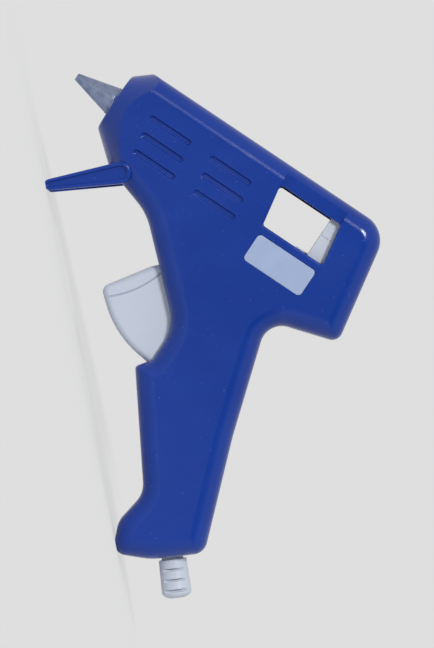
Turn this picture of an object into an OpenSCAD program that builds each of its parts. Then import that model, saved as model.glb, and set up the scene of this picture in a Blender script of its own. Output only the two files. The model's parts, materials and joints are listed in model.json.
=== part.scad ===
// Small hot-glue gun: moulded half-shells, heating unit, stick feed, trigger and cord entry.
// Pieces are drawn with the barrel axis along X: nozzle tip at 0, rearward positive, Z up, Y across.
// stance() then stands the gun on its two legs and the heel of its grip, nozzle low, as it is put down.

/* [Housing] */
// Width across the two half-shells
body_w = 28; // [26:0.5:32]
// Height of the top edge above the barrel axis
body_top = 14.3; // [14:0.1:16]
// Wall thickness of the half-shells
wall = 2; // [1.6:0.1:2.4]
// Reach of the rounded edge across the width
edge_reach = 7; // [5:0.5:7]
// Depth by which the rounded edge draws the outline in
edge_drop = 6; // [3:0.5:6]
// Distance of the nose face behind the nozzle tip
nose_x = 14.8; // [14.6:0.1:15.4]
// Radius of the nose face
nose_r = 9.9; // [9.7:0.1:11]
// Slope of the nose cone against the barrel axis
nose_deg = 40; // [34:1:44]
// Distance of the rear top corner behind the nozzle tip
rear_x = 110.7; // [110:0.1:114]
// Distance by which the rear face leans back from top to bottom
rear_lean = 6.9; // [4:0.1:9]
// Depth of the rear lobe below the barrel axis
lobe_depth = 24.4; // [23:0.1:28]
// Clearance round the nozzle where it leaves the nose
nose_gap = 0.4; // [0.3:0.05:0.6]

/* [Window] */
// Distance of the window's front edge behind the nozzle tip
window_x = 75.4; // [75:0.1:78]
// Length of the window along the barrel
window_l = 23; // [20:0.5:24]
// Height of the window's top edge above the axis
window_top = 7.3; // [6:0.1:7.6]
// Depth of the window's bottom edge below the axis
window_low = 6.7; // [5:0.1:7]
// Lean of the window's end edges
window_deg = 10; // [0:1:14]
// Height of the recessed band over the window
band_h = 4.4; // [3:0.1:4.6]
// Depth of that band
band_depth = 1.2; // [0.6:0.1:1.4]

/* [Vent grooves] */
// Length of a groove
vent_l = 16; // [10:0.5:18]
// Width of a groove
vent_w = 2.3; // [1.6:0.1:3]
// Depth of a groove
vent_depth = 1; // [0.5:0.1:1.2]
// Pitch between grooves
vent_pitch = 5.95; // [4:0.05:6.5]
// Rearward step from one groove to the next
vent_step = 0.9; // [0:0.1:1.5]
// Pitch between the two groups along the barrel
vent_group_pitch = 23.2; // [20:0.1:24]

/* [Stand legs] */
// Thickness of a leg
leg_w = 3; // [2.4:0.1:4]
// Height by which a leg stands out of the side
leg_proud = 1; // [0.5:0.1:1.6]
// Radius of a leg's root
leg_root_r = 3.5; // [3:0.1:4.5]
// Radius of a leg's tip
leg_tip_r = 1.8; // [1.4:0.1:2.4]
// Depth of the flats that stand on the bench
foot_flat = 0.4; // [0.2:0.05:0.6]

/* [Label recess] */
// Length of the recess
label_l = 22.3; // [14:0.1:23]
// Height of the recess
label_h = 10.1; // [6:0.1:10.5]
// Depth of the recess
label_depth = 0.3; // [0.2:0.05:0.5]

/* [Nozzle and drip valve] */
// Length of the bare cone
nozzle_l = 14.4; // [13:0.1:14.5]
// Radius at the tip
nozzle_tip_r = 1.2; // [1:0.05:1.6]
// Radius at the cone's foot
nozzle_r = 4.8; // [4.5:0.1:5.2]
// Radius of the outlet
outlet_r = 0.8; // [0.5:0.05:0.9]
// Radius of the threaded shank
shank_r = 4; // [3.6:0.1:4.3]
// Radius of the check ball
ball_r = 1.5; // [1.3:0.05:1.6]
// Radius of the ball's seat
seat_r = 1; // [0.8:0.05:1.1]
// Distance by which glue pressure lifts the ball
ball_lift = 1; // [0.5:0.1:1.4]

/* [Heating unit] */
// Radius of the melt chamber
chamber_r = 7.5; // [7.2:0.1:8]
// Radius of its bore
chamber_bore_r = 3.9; // [3.8:0.05:4.1]
// Length of its thick body
chamber_l = 34; // [30:0.5:36]
// Length of the heater tunnel under it
tunnel_l = 22; // [20:0.5:22]
// Wall of the heater tunnel
tunnel_wall = 1.4; // [1.2:0.1:1.8]
// Length of the ceramic heater
heater_l = 16; // [12:0.5:18]
// Width of the ceramic heater
heater_w = 8.6; // [6:0.1:9]
// Thickness of the ceramic heater
heater_t = 2.6; // [2:0.1:2.8]
// Thickness of a contact plate
plate_t = 0.5; // [0.4:0.1:0.6]
// Thickness of the insulating film
film_t = 0.25; // [0.2:0.05:0.3]

/* [Stick feed] */
// Radius of the inlet sleeve's bore, for a 7 mm stick
sleeve_bore_r = 3.7; // [3.6:0.05:3.75]
// Wall of the inlet sleeve where it grips the chamber
sleeve_wall = 1.5; // [1.2:0.1:1.8]
// Length of the inlet sleeve
sleeve_l = 15; // [13:0.5:16]
// Distance of the resting carriage's front face before the rear top corner
carriage_back = 17; // [16:0.1:19]
// Length of the carriage
carriage_l = 9.6; // [8:0.1:9.8]
// Radius of the carriage's bore
carriage_bore_r = 4; // [3.9:0.05:4.4]
// Radius of the stick's hole in the rear wall
stick_hole_r = 4.4; // [4.2:0.1:5]

/* [Trigger and feed lever] */
// Full swing of the trigger
trigger_swing = 20; // [12:1:22]
// Radius of the trigger's top edge about its pivot
trigger_r = 31.5; // [30:0.1:31.7]
// Width of the trigger
trigger_w = 13.2; // [10:0.2:13.6]
// Radius of the pivot pins and of the lever's studs
pin_r = 1.5; // [1.2:0.1:1.7]
// Length of the lever's lower arm
lever_low = 13; // [12:0.1:14]
// Length of the lever's upper arm
lever_up = 15.5; // [14.5:0.1:15.8]
// Thickness of the middle arms
arm_t = 4.4; // [3:0.2:5]
// Thickness of a fork ear
ear_t = 2; // [1.6:0.1:2.4]
// Wire radius of the return spring
spring_wire_r = 0.4; // [0.3:0.05:0.45]
// Mean radius of the return spring
spring_r = 2.8; // [2.6:0.1:3.2]

/* [Cord entry] */
// Radius of the strain relief where it leaves the grip
relief_r = 4.5; // [4.2:0.1:4.8]
// Radius of the strain relief before its domed end
relief_end_r = 4.8; // [4.2:0.1:5]
// Length of the strain relief outside the grip
relief_l = 13.8; // [12:0.2:16]
// Height of its domed end
relief_dome = 2.4; // [1.5:0.1:3]
// Slots along each side of the strain relief
relief_slots = 3; // [2:1:3]
// Distance between the slots
relief_pitch = 3.4; // [3:0.1:3.6]
// Width of a slot
relief_slot_w = 0.9; // [0.6:0.1:1.2]
// Depth of a slot
relief_slot_depth = 1.4; // [0.8:0.1:1.6]
// Radius of the cord's passage
cord_r = 2.3; // [1.8:0.1:2.4]

/* [Fasteners] */
// Radius of the screw shanks
screw_r = 1.2; // [1:0.05:1.3]
// Radius of the screw heads
head_r = 2.1; // [1.8:0.1:2.3]
// Height of the screw heads
head_h = 1.6; // [1.2:0.1:2]
// Wall of a screw boss
boss_wall = 1.5; // [1.3:0.1:1.6]

/* [Clearances] */
// Radial clearance of pins, screws and pressed-in pieces
fit_gap = 0.05; // [0.03:0.01:0.08]
// Clearance of sliding faces
slide_gap = 0.2; // [0.1:0.05:0.3]
// Clearance between swinging pieces
swing_gap = 0.35; // [0.3:0.05:0.4]

/* [Hidden] */
$fn = 48;
// Largest turn between neighbouring points of a rounded corner, and steps across a rounded edge
arc_step = 14;
edge_steps = 5;
half_w = body_w / 2;
in_w = half_w - wall;
blue = [0.12, 0.25, 0.6];
white = [0.9, 0.91, 0.92];
steel = [0.75, 0.76, 0.78];
copper = [0.8, 0.5, 0.3];

// Corners of the side outline, clockwise from the nose: [x, z, corner radius]
nose_start = nose_x - edge_drop - 2;
heel = [95, -121, 4];
outline = [
    [nose_start, body_top, 1],
    [rear_x, body_top, 9],
    [rear_x + rear_lean, -lobe_depth, 3.5],
    [94.8, -lobe_depth - rear_lean, 7],
    [106.3, -68.4, 60],
    [119.6, -104.6, 5],
    [106.4, -115.8, 20],
    heel,
    [90.9, -111.5, 7],
    [92.7, -99.5, 9],
    [67.6, -67, 1.5],
    [71, -62.5, 1.5],
    [71, -49.7, 14],
    [43.3, -24.2, 20],
    [nose_start, -13, 1]
];

// Places in the side view: [x, z]
leg_root = [29.3, -18.2];
leg_tip = [12.7, -33.8];
trigger_at = [75.2, -60.4];
lever_at = [87.5, -26.3];
relief_at = [111.6, -111.4];
relief_deg = -49;
label_at = [88.1, -14.4];
vent_start = [27.1, 2];
screw_places = [[27.5, -11.8], [63, -20], [107, -15], [91, -89], [98.5, -112.6]];

// Heating unit along the axis
nose_in = nose_x + wall;
collar_front = nose_in + fit_gap;
collar_l = 7;
chamber_front = collar_front + collar_l;
chamber_rear = chamber_front + chamber_l;
front_r = chamber_r - 1.5;
spigot_l = 6;
inlet_r = chamber_bore_r + 1.1;
valve_face = chamber_front + fit_gap;
valve_r = ball_r + swing_gap;
valve_bore_r = ball_r - 0.15;
valve_front = nozzle_l - 0.4;
orifice_l = 2;
throat_l = 5;
ball_x = valve_face - sqrt(ball_r ^ 2 - seat_r ^ 2) - fit_gap;
lift_stop = ball_x - ball_lift - fit_gap - sqrt(ball_r ^ 2 - valve_bore_r ^ 2);
valve_wire_r = 0.17;
stack_h = heater_t + 2 * plate_t + 2 * film_t + 4 * fit_gap;
stack_w = heater_w + 2 * film_t + 4 * fit_gap;
tunnel_top = -chamber_r - 0.6;
tunnel_x = chamber_front + 7.6;
stack_z = tunnel_top - stack_h / 2;
heater_x = tunnel_x + (tunnel_l - heater_l) / 2;
tab_l = 5;
tab_w = 2.4;
sleeve_x = chamber_rear + slide_gap;
sleeve_r = inlet_r + fit_gap + sleeve_wall;

// Stick feed
carriage_x = rear_x - carriage_back;
rail_t = 1.6;
rail_top = window_top + 1;
rail_low = -window_low - 0.6;
rail_in = in_w - 4.5;
carriage_w = 2 * (in_w - 1.5);
gripper_t = 0.8;
gripper_r = carriage_bore_r + 2.2;

// Trigger, lever and carriage move together: at mid-swing the stud lies on the line between the pivots
half_swing = trigger_swing / 2;
pivot_line = lever_at - trigger_at;
pivot_gap = norm(pivot_line);
pivot_deg = atan2(pivot_line[1], pivot_line[0]);
lever_half = asin(pivot_gap * sin(half_swing) / lever_low) - half_swing;
stroke = 2 * lever_up * sin(lever_half);
stud_near = pivot_gap - lever_low;
stud_far = norm([pivot_gap - lever_low * cos(lever_half), lever_low * sin(lever_half)]);
ear_in = arm_t / 2 + swing_gap;
ear_out = ear_in + ear_t;
arm_r = pin_r + swing_gap + 1.6;
hub_r = pin_r + fit_gap + 2.4;
root_r = hub_r - swing_gap;
low_stud = polar(lever_at, lever_low, pivot_deg + 180 - lever_half);
top_stud = polar(lever_at, lever_up, 90 - lever_half);
top_stud_mid_z = lever_at[1] + lever_up;
trigger_rest_deg = pivot_deg + half_swing;
spring_z = -46;
spring_reach = 20.2;
spring_seat_x = trigger_at[0] + spring_reach;
spring_turns = 6;
post_r = spring_r - 2 * spring_wire_r;

// Cord entry and clamp
relief_dir = [cos(relief_deg), sin(relief_deg)];
relief_across = [-sin(relief_deg), cos(relief_deg)];
relief_tip = [for (a = [0:12:60])
    [relief_end_r * cos(a), relief_l - relief_dome * (1 - sin(a))]];
relief_floor = relief_r - relief_slot_depth;
flange_r = relief_r + 0.9;
flange_t = 1.8;
flange_at = -6.8;
socket_back = flange_at - 2;
neck_r = relief_r - 1;
clamp_back = 14;
clamp_at = relief_at - clamp_back * relief_dir;
clamp_span = 4.8;
clamp_t = 2.5;
clamp_places = [clamp_at + clamp_span * relief_across, clamp_at - clamp_span * relief_across];
boss_r = screw_r + fit_gap + boss_wall;
head_seat = 8;
screw_end = 9;
clamp_end = 7;
bore_room = 1;
lead_r = 0.9;

// Stance: the upward direction that sets leg tips and heel on one level
function corner_centre(p, q, s) =
    let (a = unit(xy(p) - xy(q)), b = unit(xy(s) - xy(q)))
    xy(q) + unit(a + b) * q[2] / sin(acos(a * b) / 2);
heel_centre = corner_centre(outline[6], outline[7], outline[8]);
foot_line = heel_centre - leg_tip;
up_deg = atan2(foot_line[1], foot_line[0]) + acos((heel[2] - leg_tip_r) / norm(foot_line));
stance_deg = up_deg - 90;
function stood(p) = [
    p[0] * cos(stance_deg) + p[1] * sin(stance_deg),
    p[1] * cos(stance_deg) - p[0] * sin(stance_deg)
];
floor_z = stood(leg_tip)[1] - leg_tip_r + foot_flat;
front_x = stood([0, nozzle_tip_r])[0];
rear_end_x = max([for (p = relief_tip, side = [-1, 1])
    stood(relief_at + p[1] * relief_dir + side * p[0] * relief_across)[0]]);
mid_x = (front_x + rear_end_x) / 2;

// Points and outlines

function xy(p) = [p[0], p[1]];
function unit(v) = v / norm(v);
function wrap(a) = a > 180 ? a - 360 : a < -180 ? a + 360 : a;
function polar(c, r, a) = c + r * [cos(a), sin(a)];

// Corner q between its neighbours p and s, as points on its arc
function corner(p, q, s) =
    let (a = unit(xy(p) - xy(q)), b = unit(xy(s) - xy(q)), half = acos(a * b) / 2,
         centre = corner_centre(p, q, s), reach = q[2] / tan(half),
         from = xy(q) + a * reach - centre, to = xy(q) + b * reach - centre,
         start = atan2(from[1], from[0]), sweep = wrap(atan2(to[1], to[0]) - start),
         steps = max(2, ceil((180 - 2 * half) / arc_step)))
    [for (i = [0:steps]) polar(centre, q[2], start + sweep * i / steps)];

function rounded(c) =
    let (n = len(c))
    [for (i = [0:n - 1]) each corner(c[(i + n - 1) % n], c[i], c[(i + 1) % n])];

// A clockwise list of corners moved inwards by d, its radii with it
function inward(p, q) =
    let (d = unit(xy(q) - xy(p)))
    [d[1], -d[0]];
function inset(c, d) =
    let (n = len(c))
    [for (i = [0:n - 1])
        let (p = c[(i + n - 1) % n], q = c[i], s = c[(i + 1) % n], a = inward(p, q), b = inward(q, s),
             at = xy(q) + (a + b) * d / (1 + a * b),
             convex = cross(xy(q) - xy(p), xy(s) - xy(q)) < 0)
        [at[0], at[1], convex ? max(q[2] - d, 0.4) : q[2] + d]];

// Round-ended strip from a to b, with end radii ra and rb
function strip(a, b, ra, rb) =
    let (along = atan2(b[1] - a[1], b[0] - a[0]), lean = acos((ra - rb) / norm(b - a)), n = 8)
    concat(
        [for (i = [0:n]) polar(a, ra, along + lean + (360 - 2 * lean) * i / n)],
        [for (i = [0:n]) polar(b, rb, along - lean + 2 * lean * i / n)]);

// Triangles that fill a clockwise outline, cut off ear by ear; idx lists the points still left
function turn(a, b, c) = cross(b - a, c - a);
function holds(a, b, c, p) = turn(a, b, p) <= 0 && turn(b, c, p) <= 0 && turn(c, a, p) <= 0;
function ear(idx, k) =
    let (n = len(idx))
    [idx[(k + n - 1) % n], idx[k], idx[(k + 1) % n]];
function is_ear(points, idx, t) =
    let (a = points[t[0]], b = points[t[1]], c = points[t[2]])
    turn(a, b, c) < 0
    && len([for (i = idx) if (i != t[0] && i != t[1] && i != t[2] && holds(a, b, c, points[i])) i]) == 0;
function first_ear(points, idx, k) =
    is_ear(points, idx, ear(idx, k)) ? k : first_ear(points, idx, k + 1);
function filled(points, idx) =
    len(idx) == 3 ? [idx] :
    let (k = first_ear(points, idx, 0))
    concat([ear(idx, k)], filled(points, [for (i = [0:len(idx) - 1]) if (i != k) idx[i]]));

// Solids

module stance() {
    translate([-mid_x, 0, -floor_z]) rotate([0, stance_deg, 0]) children();
}

// Side-view outline given thickness from y0 to y1
module slab(points, y0, y1) {
    translate([0, y1, 0]) rotate([90, 0, 0]) linear_extrude(y1 - y0) polygon(points);
}

module across(at, r, y0, y1) {
    translate([at[0], y1, at[1]]) rotate([90, 0, 0]) cylinder(h = y1 - y0, r = r);
}

module along(r, x0, x1) {
    translate([x0, 0, 0]) rotate([0, 90, 0]) cylinder(h = x1 - x0, r = r);
}

// Profile of [radius, distance] points turned about the barrel axis
module turned(profile) {
    rotate([0, 90, 0]) rotate_extrude() polygon(profile);
}

module block(x, y, z) {
    translate([x[0], y[0], z[0]]) cube([x[1] - x[0], y[1] - y[0], z[1] - z[0]]);
}

// Skin over outlines of equal length, each given as [y, points], from the lowest y to the highest
module loft(rings) {
    n = len(rings[0][1]);
    last = (len(rings) - 1) * n;
    points = [for (ring = rings, p = ring[1]) [p[0], ring[0], p[1]]];
    sides = [for (k = [0:len(rings) - 2], i = [0:n - 1])
        let (j = (i + 1) % n, a = k * n + i, b = k * n + j)
        each [[a, a + n, b + n], [a, b + n, b]]];
    all = [for (i = [0:n - 1]) i];
    near = filled(rings[0][1], all);
    far = [for (t = filled(rings[len(rings) - 1][1], all)) [t[2], t[1], t[0]] + last * [1, 1, 1]];
    polyhedron(points, concat(near, far, sides));
}

// Rings of an edge that rounds over from the flat side at -w, reach across and drop inwards
function edge_rings(c, w, reach, drop, steps) =
    [for (k = [steps:-1:0])
        let (a = 90 * k / steps)
        [reach - w - reach * sin(a), rounded(inset(c, drop * (1 - cos(a))))]];

// Tube along a path, its sides set round the path by the reference direction
module tube(path, r, sides, reference) {
    n = len(path);
    rings = [for (i = [0:n - 1])
        let (ahead = unit(path[min(i + 1, n - 1)] - path[max(i - 1, 0)]),
             u = unit(cross(ahead, reference)), v = cross(ahead, u))
        for (k = [0:sides - 1]) path[i] + r * (u * cos(360 * k / sides) + v * sin(360 * k / sides))];
    faces = [for (i = [0:n - 2], k = [0:sides - 1])
        let (m = (k + 1) % sides, a = i * sides + k, b = i * sides + m)
        each [[a, b, b + sides], [a, b + sides, a + sides]]];
    ends = [[for (k = [sides - 1:-1:0]) k], [for (k = [0:sides - 1]) (n - 1) * sides + k]];
    polyhedron(rings, concat(ends, faces));
}

// Coil about the X direction, eight points to a turn
function coil(x0, x1, z, r, turns) =
    [for (i = [0:8 * turns])
        [x0 + (x1 - x0) * i / (8 * turns), r * sin(45 * i), z + r * cos(45 * i)]];
function coil_gap(path, wire_r) =
    min([for (i = [0:len(path) - 10], k = [7:9]) norm(path[i + k] - path[i])]) - 2 * wire_r;

// Housing

// Space behind the nose face and within its cone, drawn in by depth
module nose_limit(depth) {
    front = nose_x + depth;
    r = nose_r + depth * (tan(nose_deg) - 1 / cos(nose_deg));
    cone_l = (body_w - r) / tan(nose_deg);
    far = 2 * rear_x;
    turned([
        [0, front], [r, front], [body_w, front + cone_l], [far, front + cone_l], [far, far], [0, far]
    ]);
}

module outer_form() {
    edge = edge_rings(outline, half_w, edge_reach, edge_drop, edge_steps);
    intersection() {
        loft(concat(edge, [[0, rounded(outline)]]));
        nose_limit(0);
    }
}

module cavity() {
    inner = inset(outline, wall);
    edge = edge_rings(inner, in_w, edge_reach - wall, edge_drop - wall, 3);
    intersection() {
        loft(concat(edge, [[1, rounded(inner)]]));
        nose_limit(wall);
    }
}

// Leg with a shallow pan in its outer face
module leg() {
    leg_y = -half_w - leg_proud;
    difference() {
        slab(strip(leg_root, leg_tip, leg_root_r, leg_tip_r), leg_y, leg_y + leg_w);
        slab(strip(leg_root, leg_tip, leg_root_r - 1.3, leg_tip_r - 1), -body_w, leg_y + 0.9);
    }
}

// Ribs that carry the melt chamber and the inlet sleeve
module cradles() {
    for (x = [chamber_front + 1.5, tunnel_x + tunnel_l + 1, sleeve_x + 8])
        block([x, x + wall], [-in_w - 0.4, -4.6], [-9, 9]);
}

// Runners above and below the carriage
module rails() {
    x = [carriage_x - stroke - 4, carriage_x + carriage_l + 4];
    block(x, [-in_w - 0.4, -rail_in], [rail_low - rail_t, rail_low]);
    block(x, [-in_w - 0.2, -rail_in], [rail_top, rail_top + rail_t]);
}

module pin_boss(at, outer_y, inner_y) {
    across(at, pin_r + 1.2, -outer_y, -inner_y);
}

// Draws along the cord's way out of the grip, outwards along X
module on_relief() {
    translate([relief_at[0], 0, relief_at[1]]) rotate([0, -relief_deg, 0]) children();
}

// Half of the strain relief's seat, on a rib from the side wall
module relief_socket() {
    on_relief() block([socket_back, flange_at + flange_t], [-in_w - 0.2, -flange_r - 0.8], [-wall, wall]);
    intersection() {
        on_relief() along(flange_r + 1.6, socket_back, -2.4);
        block([0, 2 * rear_x], [-half_w, 0], [-2 * rear_x, 0]);
    }
}

// Half of the return spring's seat in the back of the grip, with its locating post
module spring_seat() {
    block([spring_seat_x, spring_seat_x + wall], [-in_w - 0.2, 0], [spring_z - 4, spring_z + 3.5]);
    intersection() {
        translate([0, 0, spring_z]) along(post_r, spring_seat_x - 3, spring_seat_x + 1);
        block([0, rear_x], [-half_w, 0], [-rear_x, 0]);
    }
}

function window_edge(x, z) = [x - tan(window_deg) * z, z, 1];

module window_cut() {
    front = window_x;
    rear = window_x + window_l;
    slab(rounded([window_edge(front, window_top), window_edge(rear, window_top),
                  window_edge(rear, -window_low), window_edge(front, -window_low)]), -body_w, 1);
    band = [window_edge(front, window_top)[0], window_edge(rear, window_top)[0]];
    block(band, [-body_w, band_depth - half_w], [window_top - 1, window_top + band_h]);
}

module vent_cuts() {
    for (group = [0, 1], row = [0:2]) {
        x = vent_start[0] + group * vent_group_pitch + row * vent_step + vent_w / 2;
        z = vent_start[1] - row * vent_pitch;
        slab(strip([x, z], [x + vent_l - vent_w, z], vent_w / 2, vent_w / 2), -body_w, vent_depth - half_w);
    }
}

module trigger_slot() {
    low = trigger_at[1] - hub_r - swing_gap;
    arc = [for (a = [100:8:172]) polar(trigger_at, trigger_r + swing_gap, a)];
    slab(concat(arc, [[trigger_at[0] - 14, low], [trigger_at[0] + 4, low]]), -trigger_w / 2 - swing_gap, 1);
}

// Everything that both halves share, drawn for the near side
module half_shell() {
    pin_end = in_w - 1.6;
    difference() {
        union() {
            difference() {
                outer_form();
                cavity();
            }
            leg();
            cradles();
            rails();
            pin_boss(trigger_at, in_w - 0.8, trigger_w / 2 + swing_gap);
            pin_boss(lever_at, in_w + 0.2, ear_out + swing_gap);
            relief_socket();
            spring_seat();
        }
        window_cut();
        vent_cuts();
        trigger_slot();
        along(nozzle_r + nose_gap, nose_x - 1, nose_in + 1);
        along(chamber_r + fit_gap, chamber_front, chamber_rear);
        along(sleeve_r + fit_gap, sleeve_x, sleeve_x + sleeve_l);
        along(stick_hole_r, carriage_x + carriage_l + 1, 2 * rear_x);
        across(trigger_at, pin_r + fit_gap, -pin_end, 1);
        across(lever_at, pin_r + fit_gap, -pin_end, 1);
        on_relief() {
            along(flange_r + fit_gap, flange_at - fit_gap, flange_at + flange_t + fit_gap);
            along(neck_r + fit_gap, flange_at - 4, 6);
        }
    }
}

module below_bench() {
    translate([-body_w * 8, -body_w * 2, -body_w]) cube([body_w * 16, body_w * 4, body_w]);
}

module left_housing() {
    clamp_y = cord_r + fit_gap;
    color(blue) difference() {
        stance() difference() {
            union() {
                half_shell();
                for (p = screw_places) across(p, boss_r, -in_w - 0.2, 0);
                for (p = clamp_places) across(p, boss_r, -in_w - 0.2, clamp_y);
            }
            for (p = screw_places) across(p, screw_r + fit_gap, -screw_end - bore_room, 1);
            for (p = clamp_places) across(p, screw_r + fit_gap, -clamp_end - bore_room, half_w);
            slab(rounded(label_corners()), -body_w, label_depth - half_w);
        }
        below_bench();
    }
}

function label_corners() =
    let (l = label_l / 2, h = label_h / 2)
    [for (c = [[-l, h], [l, h], [l, -h], [-l, -h]]) [label_at[0] + c[0], label_at[1] + c[1], 1.5]];

module right_housing() {
    color(blue) difference() {
        stance() difference() {
            union() {
                mirror([0, 1, 0]) half_shell();
                for (p = screw_places) {
                    across(p, boss_r, 0, in_w);
                    across(p, head_r + slide_gap + boss_wall, head_seat - boss_wall, in_w + 0.2);
                }
            }
            for (p = screw_places) {
                across(p, screw_r + slide_gap, -1, body_w);
                across(p, head_r + slide_gap, head_seat, body_w);
            }
        }
        below_bench();
    }
}

module screw(at, seat_y, tip_y) {
    across(at, screw_r, tip_y, seat_y);
    across(at, head_r, seat_y, seat_y + head_h);
}

module housing_screws() {
    color(steel) stance() for (p = screw_places) screw(p, head_seat, -screw_end);
}

// Nozzle, drip valve and heating unit

module nozzle() {
    color(steel) stance() turned([
        [outlet_r, 0], [nozzle_tip_r, 0], [nozzle_r, nozzle_l], [nozzle_r, collar_front - fit_gap],
        [shank_r, collar_front - fit_gap], [shank_r, chamber_front], [valve_r, chamber_front],
        [valve_r, lift_stop], [valve_bore_r, lift_stop], [valve_bore_r, valve_front],
        [outlet_r, valve_front - 1.4]
    ]);
}

module check_ball() {
    color(steel) stance() translate([ball_x, 0, 0]) sphere(r = ball_r);
}

valve_coil_r = valve_bore_r - valve_wire_r - slide_gap;
valve_coil = coil(valve_front + 0.3, ball_x - ball_r - 0.25, 0, valve_coil_r, 4);
module check_spring() {
    color(steel) stance() tube(valve_coil, valve_wire_r, 6, [1, 0, 0]);
}

module melt_chamber() {
    rear = chamber_rear + spigot_l;
    throat = valve_face + orifice_l;
    half = stack_w / 2;
    color([0.7, 0.7, 0.72]) stance() difference() {
        union() {
            turned([
                [shank_r + fit_gap, collar_front], [front_r, collar_front], [front_r, chamber_front],
                [chamber_r, chamber_front], [chamber_r, chamber_rear], [inlet_r, chamber_rear],
                [inlet_r, rear], [chamber_bore_r, rear], [chamber_bore_r, throat + throat_l],
                [seat_r, throat], [seat_r, valve_face], [shank_r + fit_gap, valve_face]
            ]);
            block([tunnel_x, tunnel_x + tunnel_l], [-half - tunnel_wall, half + tunnel_wall],
                  [tunnel_top - stack_h - tunnel_wall, -chamber_bore_r - 0.6]);
        }
        block([tunnel_x - 1, tunnel_x + tunnel_l + 1], [-half, half], [tunnel_top - stack_h, tunnel_top]);
    }
}

module front_collar() {
    r = nose_r + (wall + fit_gap) * tan(nose_deg) - wall / cos(nose_deg) - slide_gap;
    color([0.85, 0.8, 0.7]) stance() turned([
        [front_r + fit_gap, collar_front], [r, collar_front], [r, chamber_front - fit_gap],
        [front_r + fit_gap, chamber_front - fit_gap]
    ]);
}

module ptc_heater() {
    color([0.35, 0.33, 0.32]) stance()
        block([heater_x, heater_x + heater_l], heater_w / 2 * [-1, 1],
              heater_t / 2 * [-1, 1] + stack_z * [1, 1]);
}

// Contact plate from z0 upwards, with its tab on the given side
module electrode(z0, side) {
    z = [z0, z0 + plate_t];
    tab_y = side * (heater_w / 2 - 2);
    block([heater_x - 1, heater_x + heater_l + 1], heater_w / 2 * [-1, 1], z);
    block([heater_x + heater_l, tunnel_x + tunnel_l + tab_l], tab_y * [1, 1] + tab_w / 2 * [-1, 1], z);
}

module upper_electrode() {
    color(copper) stance() electrode(stack_z + heater_t / 2, -1);
}

module lower_electrode() {
    color(copper) stance() electrode(stack_z - heater_t / 2 - plate_t, 1);
}

module heater_film() {
    x = [tunnel_x + 1, tunnel_x + tunnel_l - 1];
    y = heater_w / 2 + fit_gap;
    z = heater_t / 2 + plate_t + fit_gap;
    color([0.8, 0.55, 0.15]) stance() difference() {
        block(x, (y + film_t) * [-1, 1], (z + film_t) * [-1, 1] + stack_z * [1, 1]);
        block(x + [-1, 1], y * [-1, 1], z * [-1, 1] + stack_z * [1, 1]);
    }
}

module inlet_sleeve() {
    rear = sleeve_x + sleeve_l;
    step = sleeve_x + spigot_l;
    color([0.75, 0.3, 0.2]) stance() turned([
        [inlet_r + fit_gap, sleeve_x], [sleeve_r, sleeve_x], [sleeve_r, rear], [sleeve_bore_r + 0.9, rear],
        [sleeve_bore_r, rear - 1.5], [sleeve_bore_r, step], [inlet_r + fit_gap, step]
    ]);
}

module sleeve_clip() {
    color(steel) stance() translate([sleeve_x + 2, 0, 0]) rotate([0, 90, 0])
        rotate_extrude(angle = 330) translate([sleeve_r + fit_gap, 0]) square([0.8, 2]);
}

// Trigger, lever and carriage

// Where the trigger's top edge starts, bends and ends, as directions from its pivot
trigger_front_deg = 164.7;
trigger_knee_deg = 130.3;
trigger_back_deg = 119.6;
function trigger_corners() =
    let (nose = polar(trigger_at, trigger_r + 0.45, trigger_front_deg),
         knee = polar(trigger_at, trigger_r, trigger_knee_deg),
         back = polar(trigger_at, trigger_r, trigger_back_deg),
         tail = back + 2.7 * unit(back - knee))
    [[nose[0], nose[1], 2.6], [knee[0], knee[1], 12], [tail[0], tail[1], 2.6],
     [trigger_at[0] + 4, trigger_at[1] - 0.5, 3], [trigger_at[0] - 1.4, trigger_at[1] - 3.8, 1],
     [trigger_at[0] - 18.8, trigger_at[1] - 1.8, 33]];

module trigger() {
    w = trigger_w / 2;
    edge = edge_rings(trigger_corners(), w, 2.6, 2.2, 3);
    far_edge = [for (i = [len(edge) - 1:-1:0]) [-edge[i][0], edge[i][1]]];
    arm_end = polar(trigger_at, stud_far, trigger_rest_deg);
    slot = [for (r = [stud_near, stud_far]) polar(trigger_at, r, trigger_rest_deg)];
    color(white) stance() difference() {
        union() {
            loft(concat(edge, far_edge));
            across(trigger_at, hub_r, -w, w);
            slab(strip(trigger_at, arm_end, root_r, arm_r), -arm_t / 2, arm_t / 2);
            translate([0, 0, spring_z]) along(post_r, arm_x(), spring_start_x() + 2);
        }
        across(trigger_at, pin_r + fit_gap, -w - 1, w + 1);
        slab(strip(slot[0], slot[1], pin_r + swing_gap, pin_r + swing_gap), -arm_t, arm_t);
        for (side = [-1, 1]) translate([0, side * w, 0]) rim_groove();
    }
}

function arm_x() = trigger_at[0] + (spring_z - trigger_at[1]) / tan(trigger_rest_deg);
function spring_start_x() = arm_x() + hub_r + spring_wire_r;

// Hollow line that sets off the thick rim along the trigger's top edge
module rim_groove() {
    centre = trigger_at + [-47.9, 31.1];
    rim_r = trigger_r + 0.2;
    width = 0.7;
    difference() {
        across(centre, rim_r + width / 2, -0.6, 0.6);
        across(centre, rim_r - width / 2, -1, 1);
    }
}

module pivot_pin(at) {
    half = in_w - 1.6 - slide_gap;
    color(steel) stance() across(at, pin_r, -half, half);
}

module trigger_pin() {
    pivot_pin(trigger_at);
}

module lever_pin() {
    pivot_pin(lever_at);
}

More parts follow.
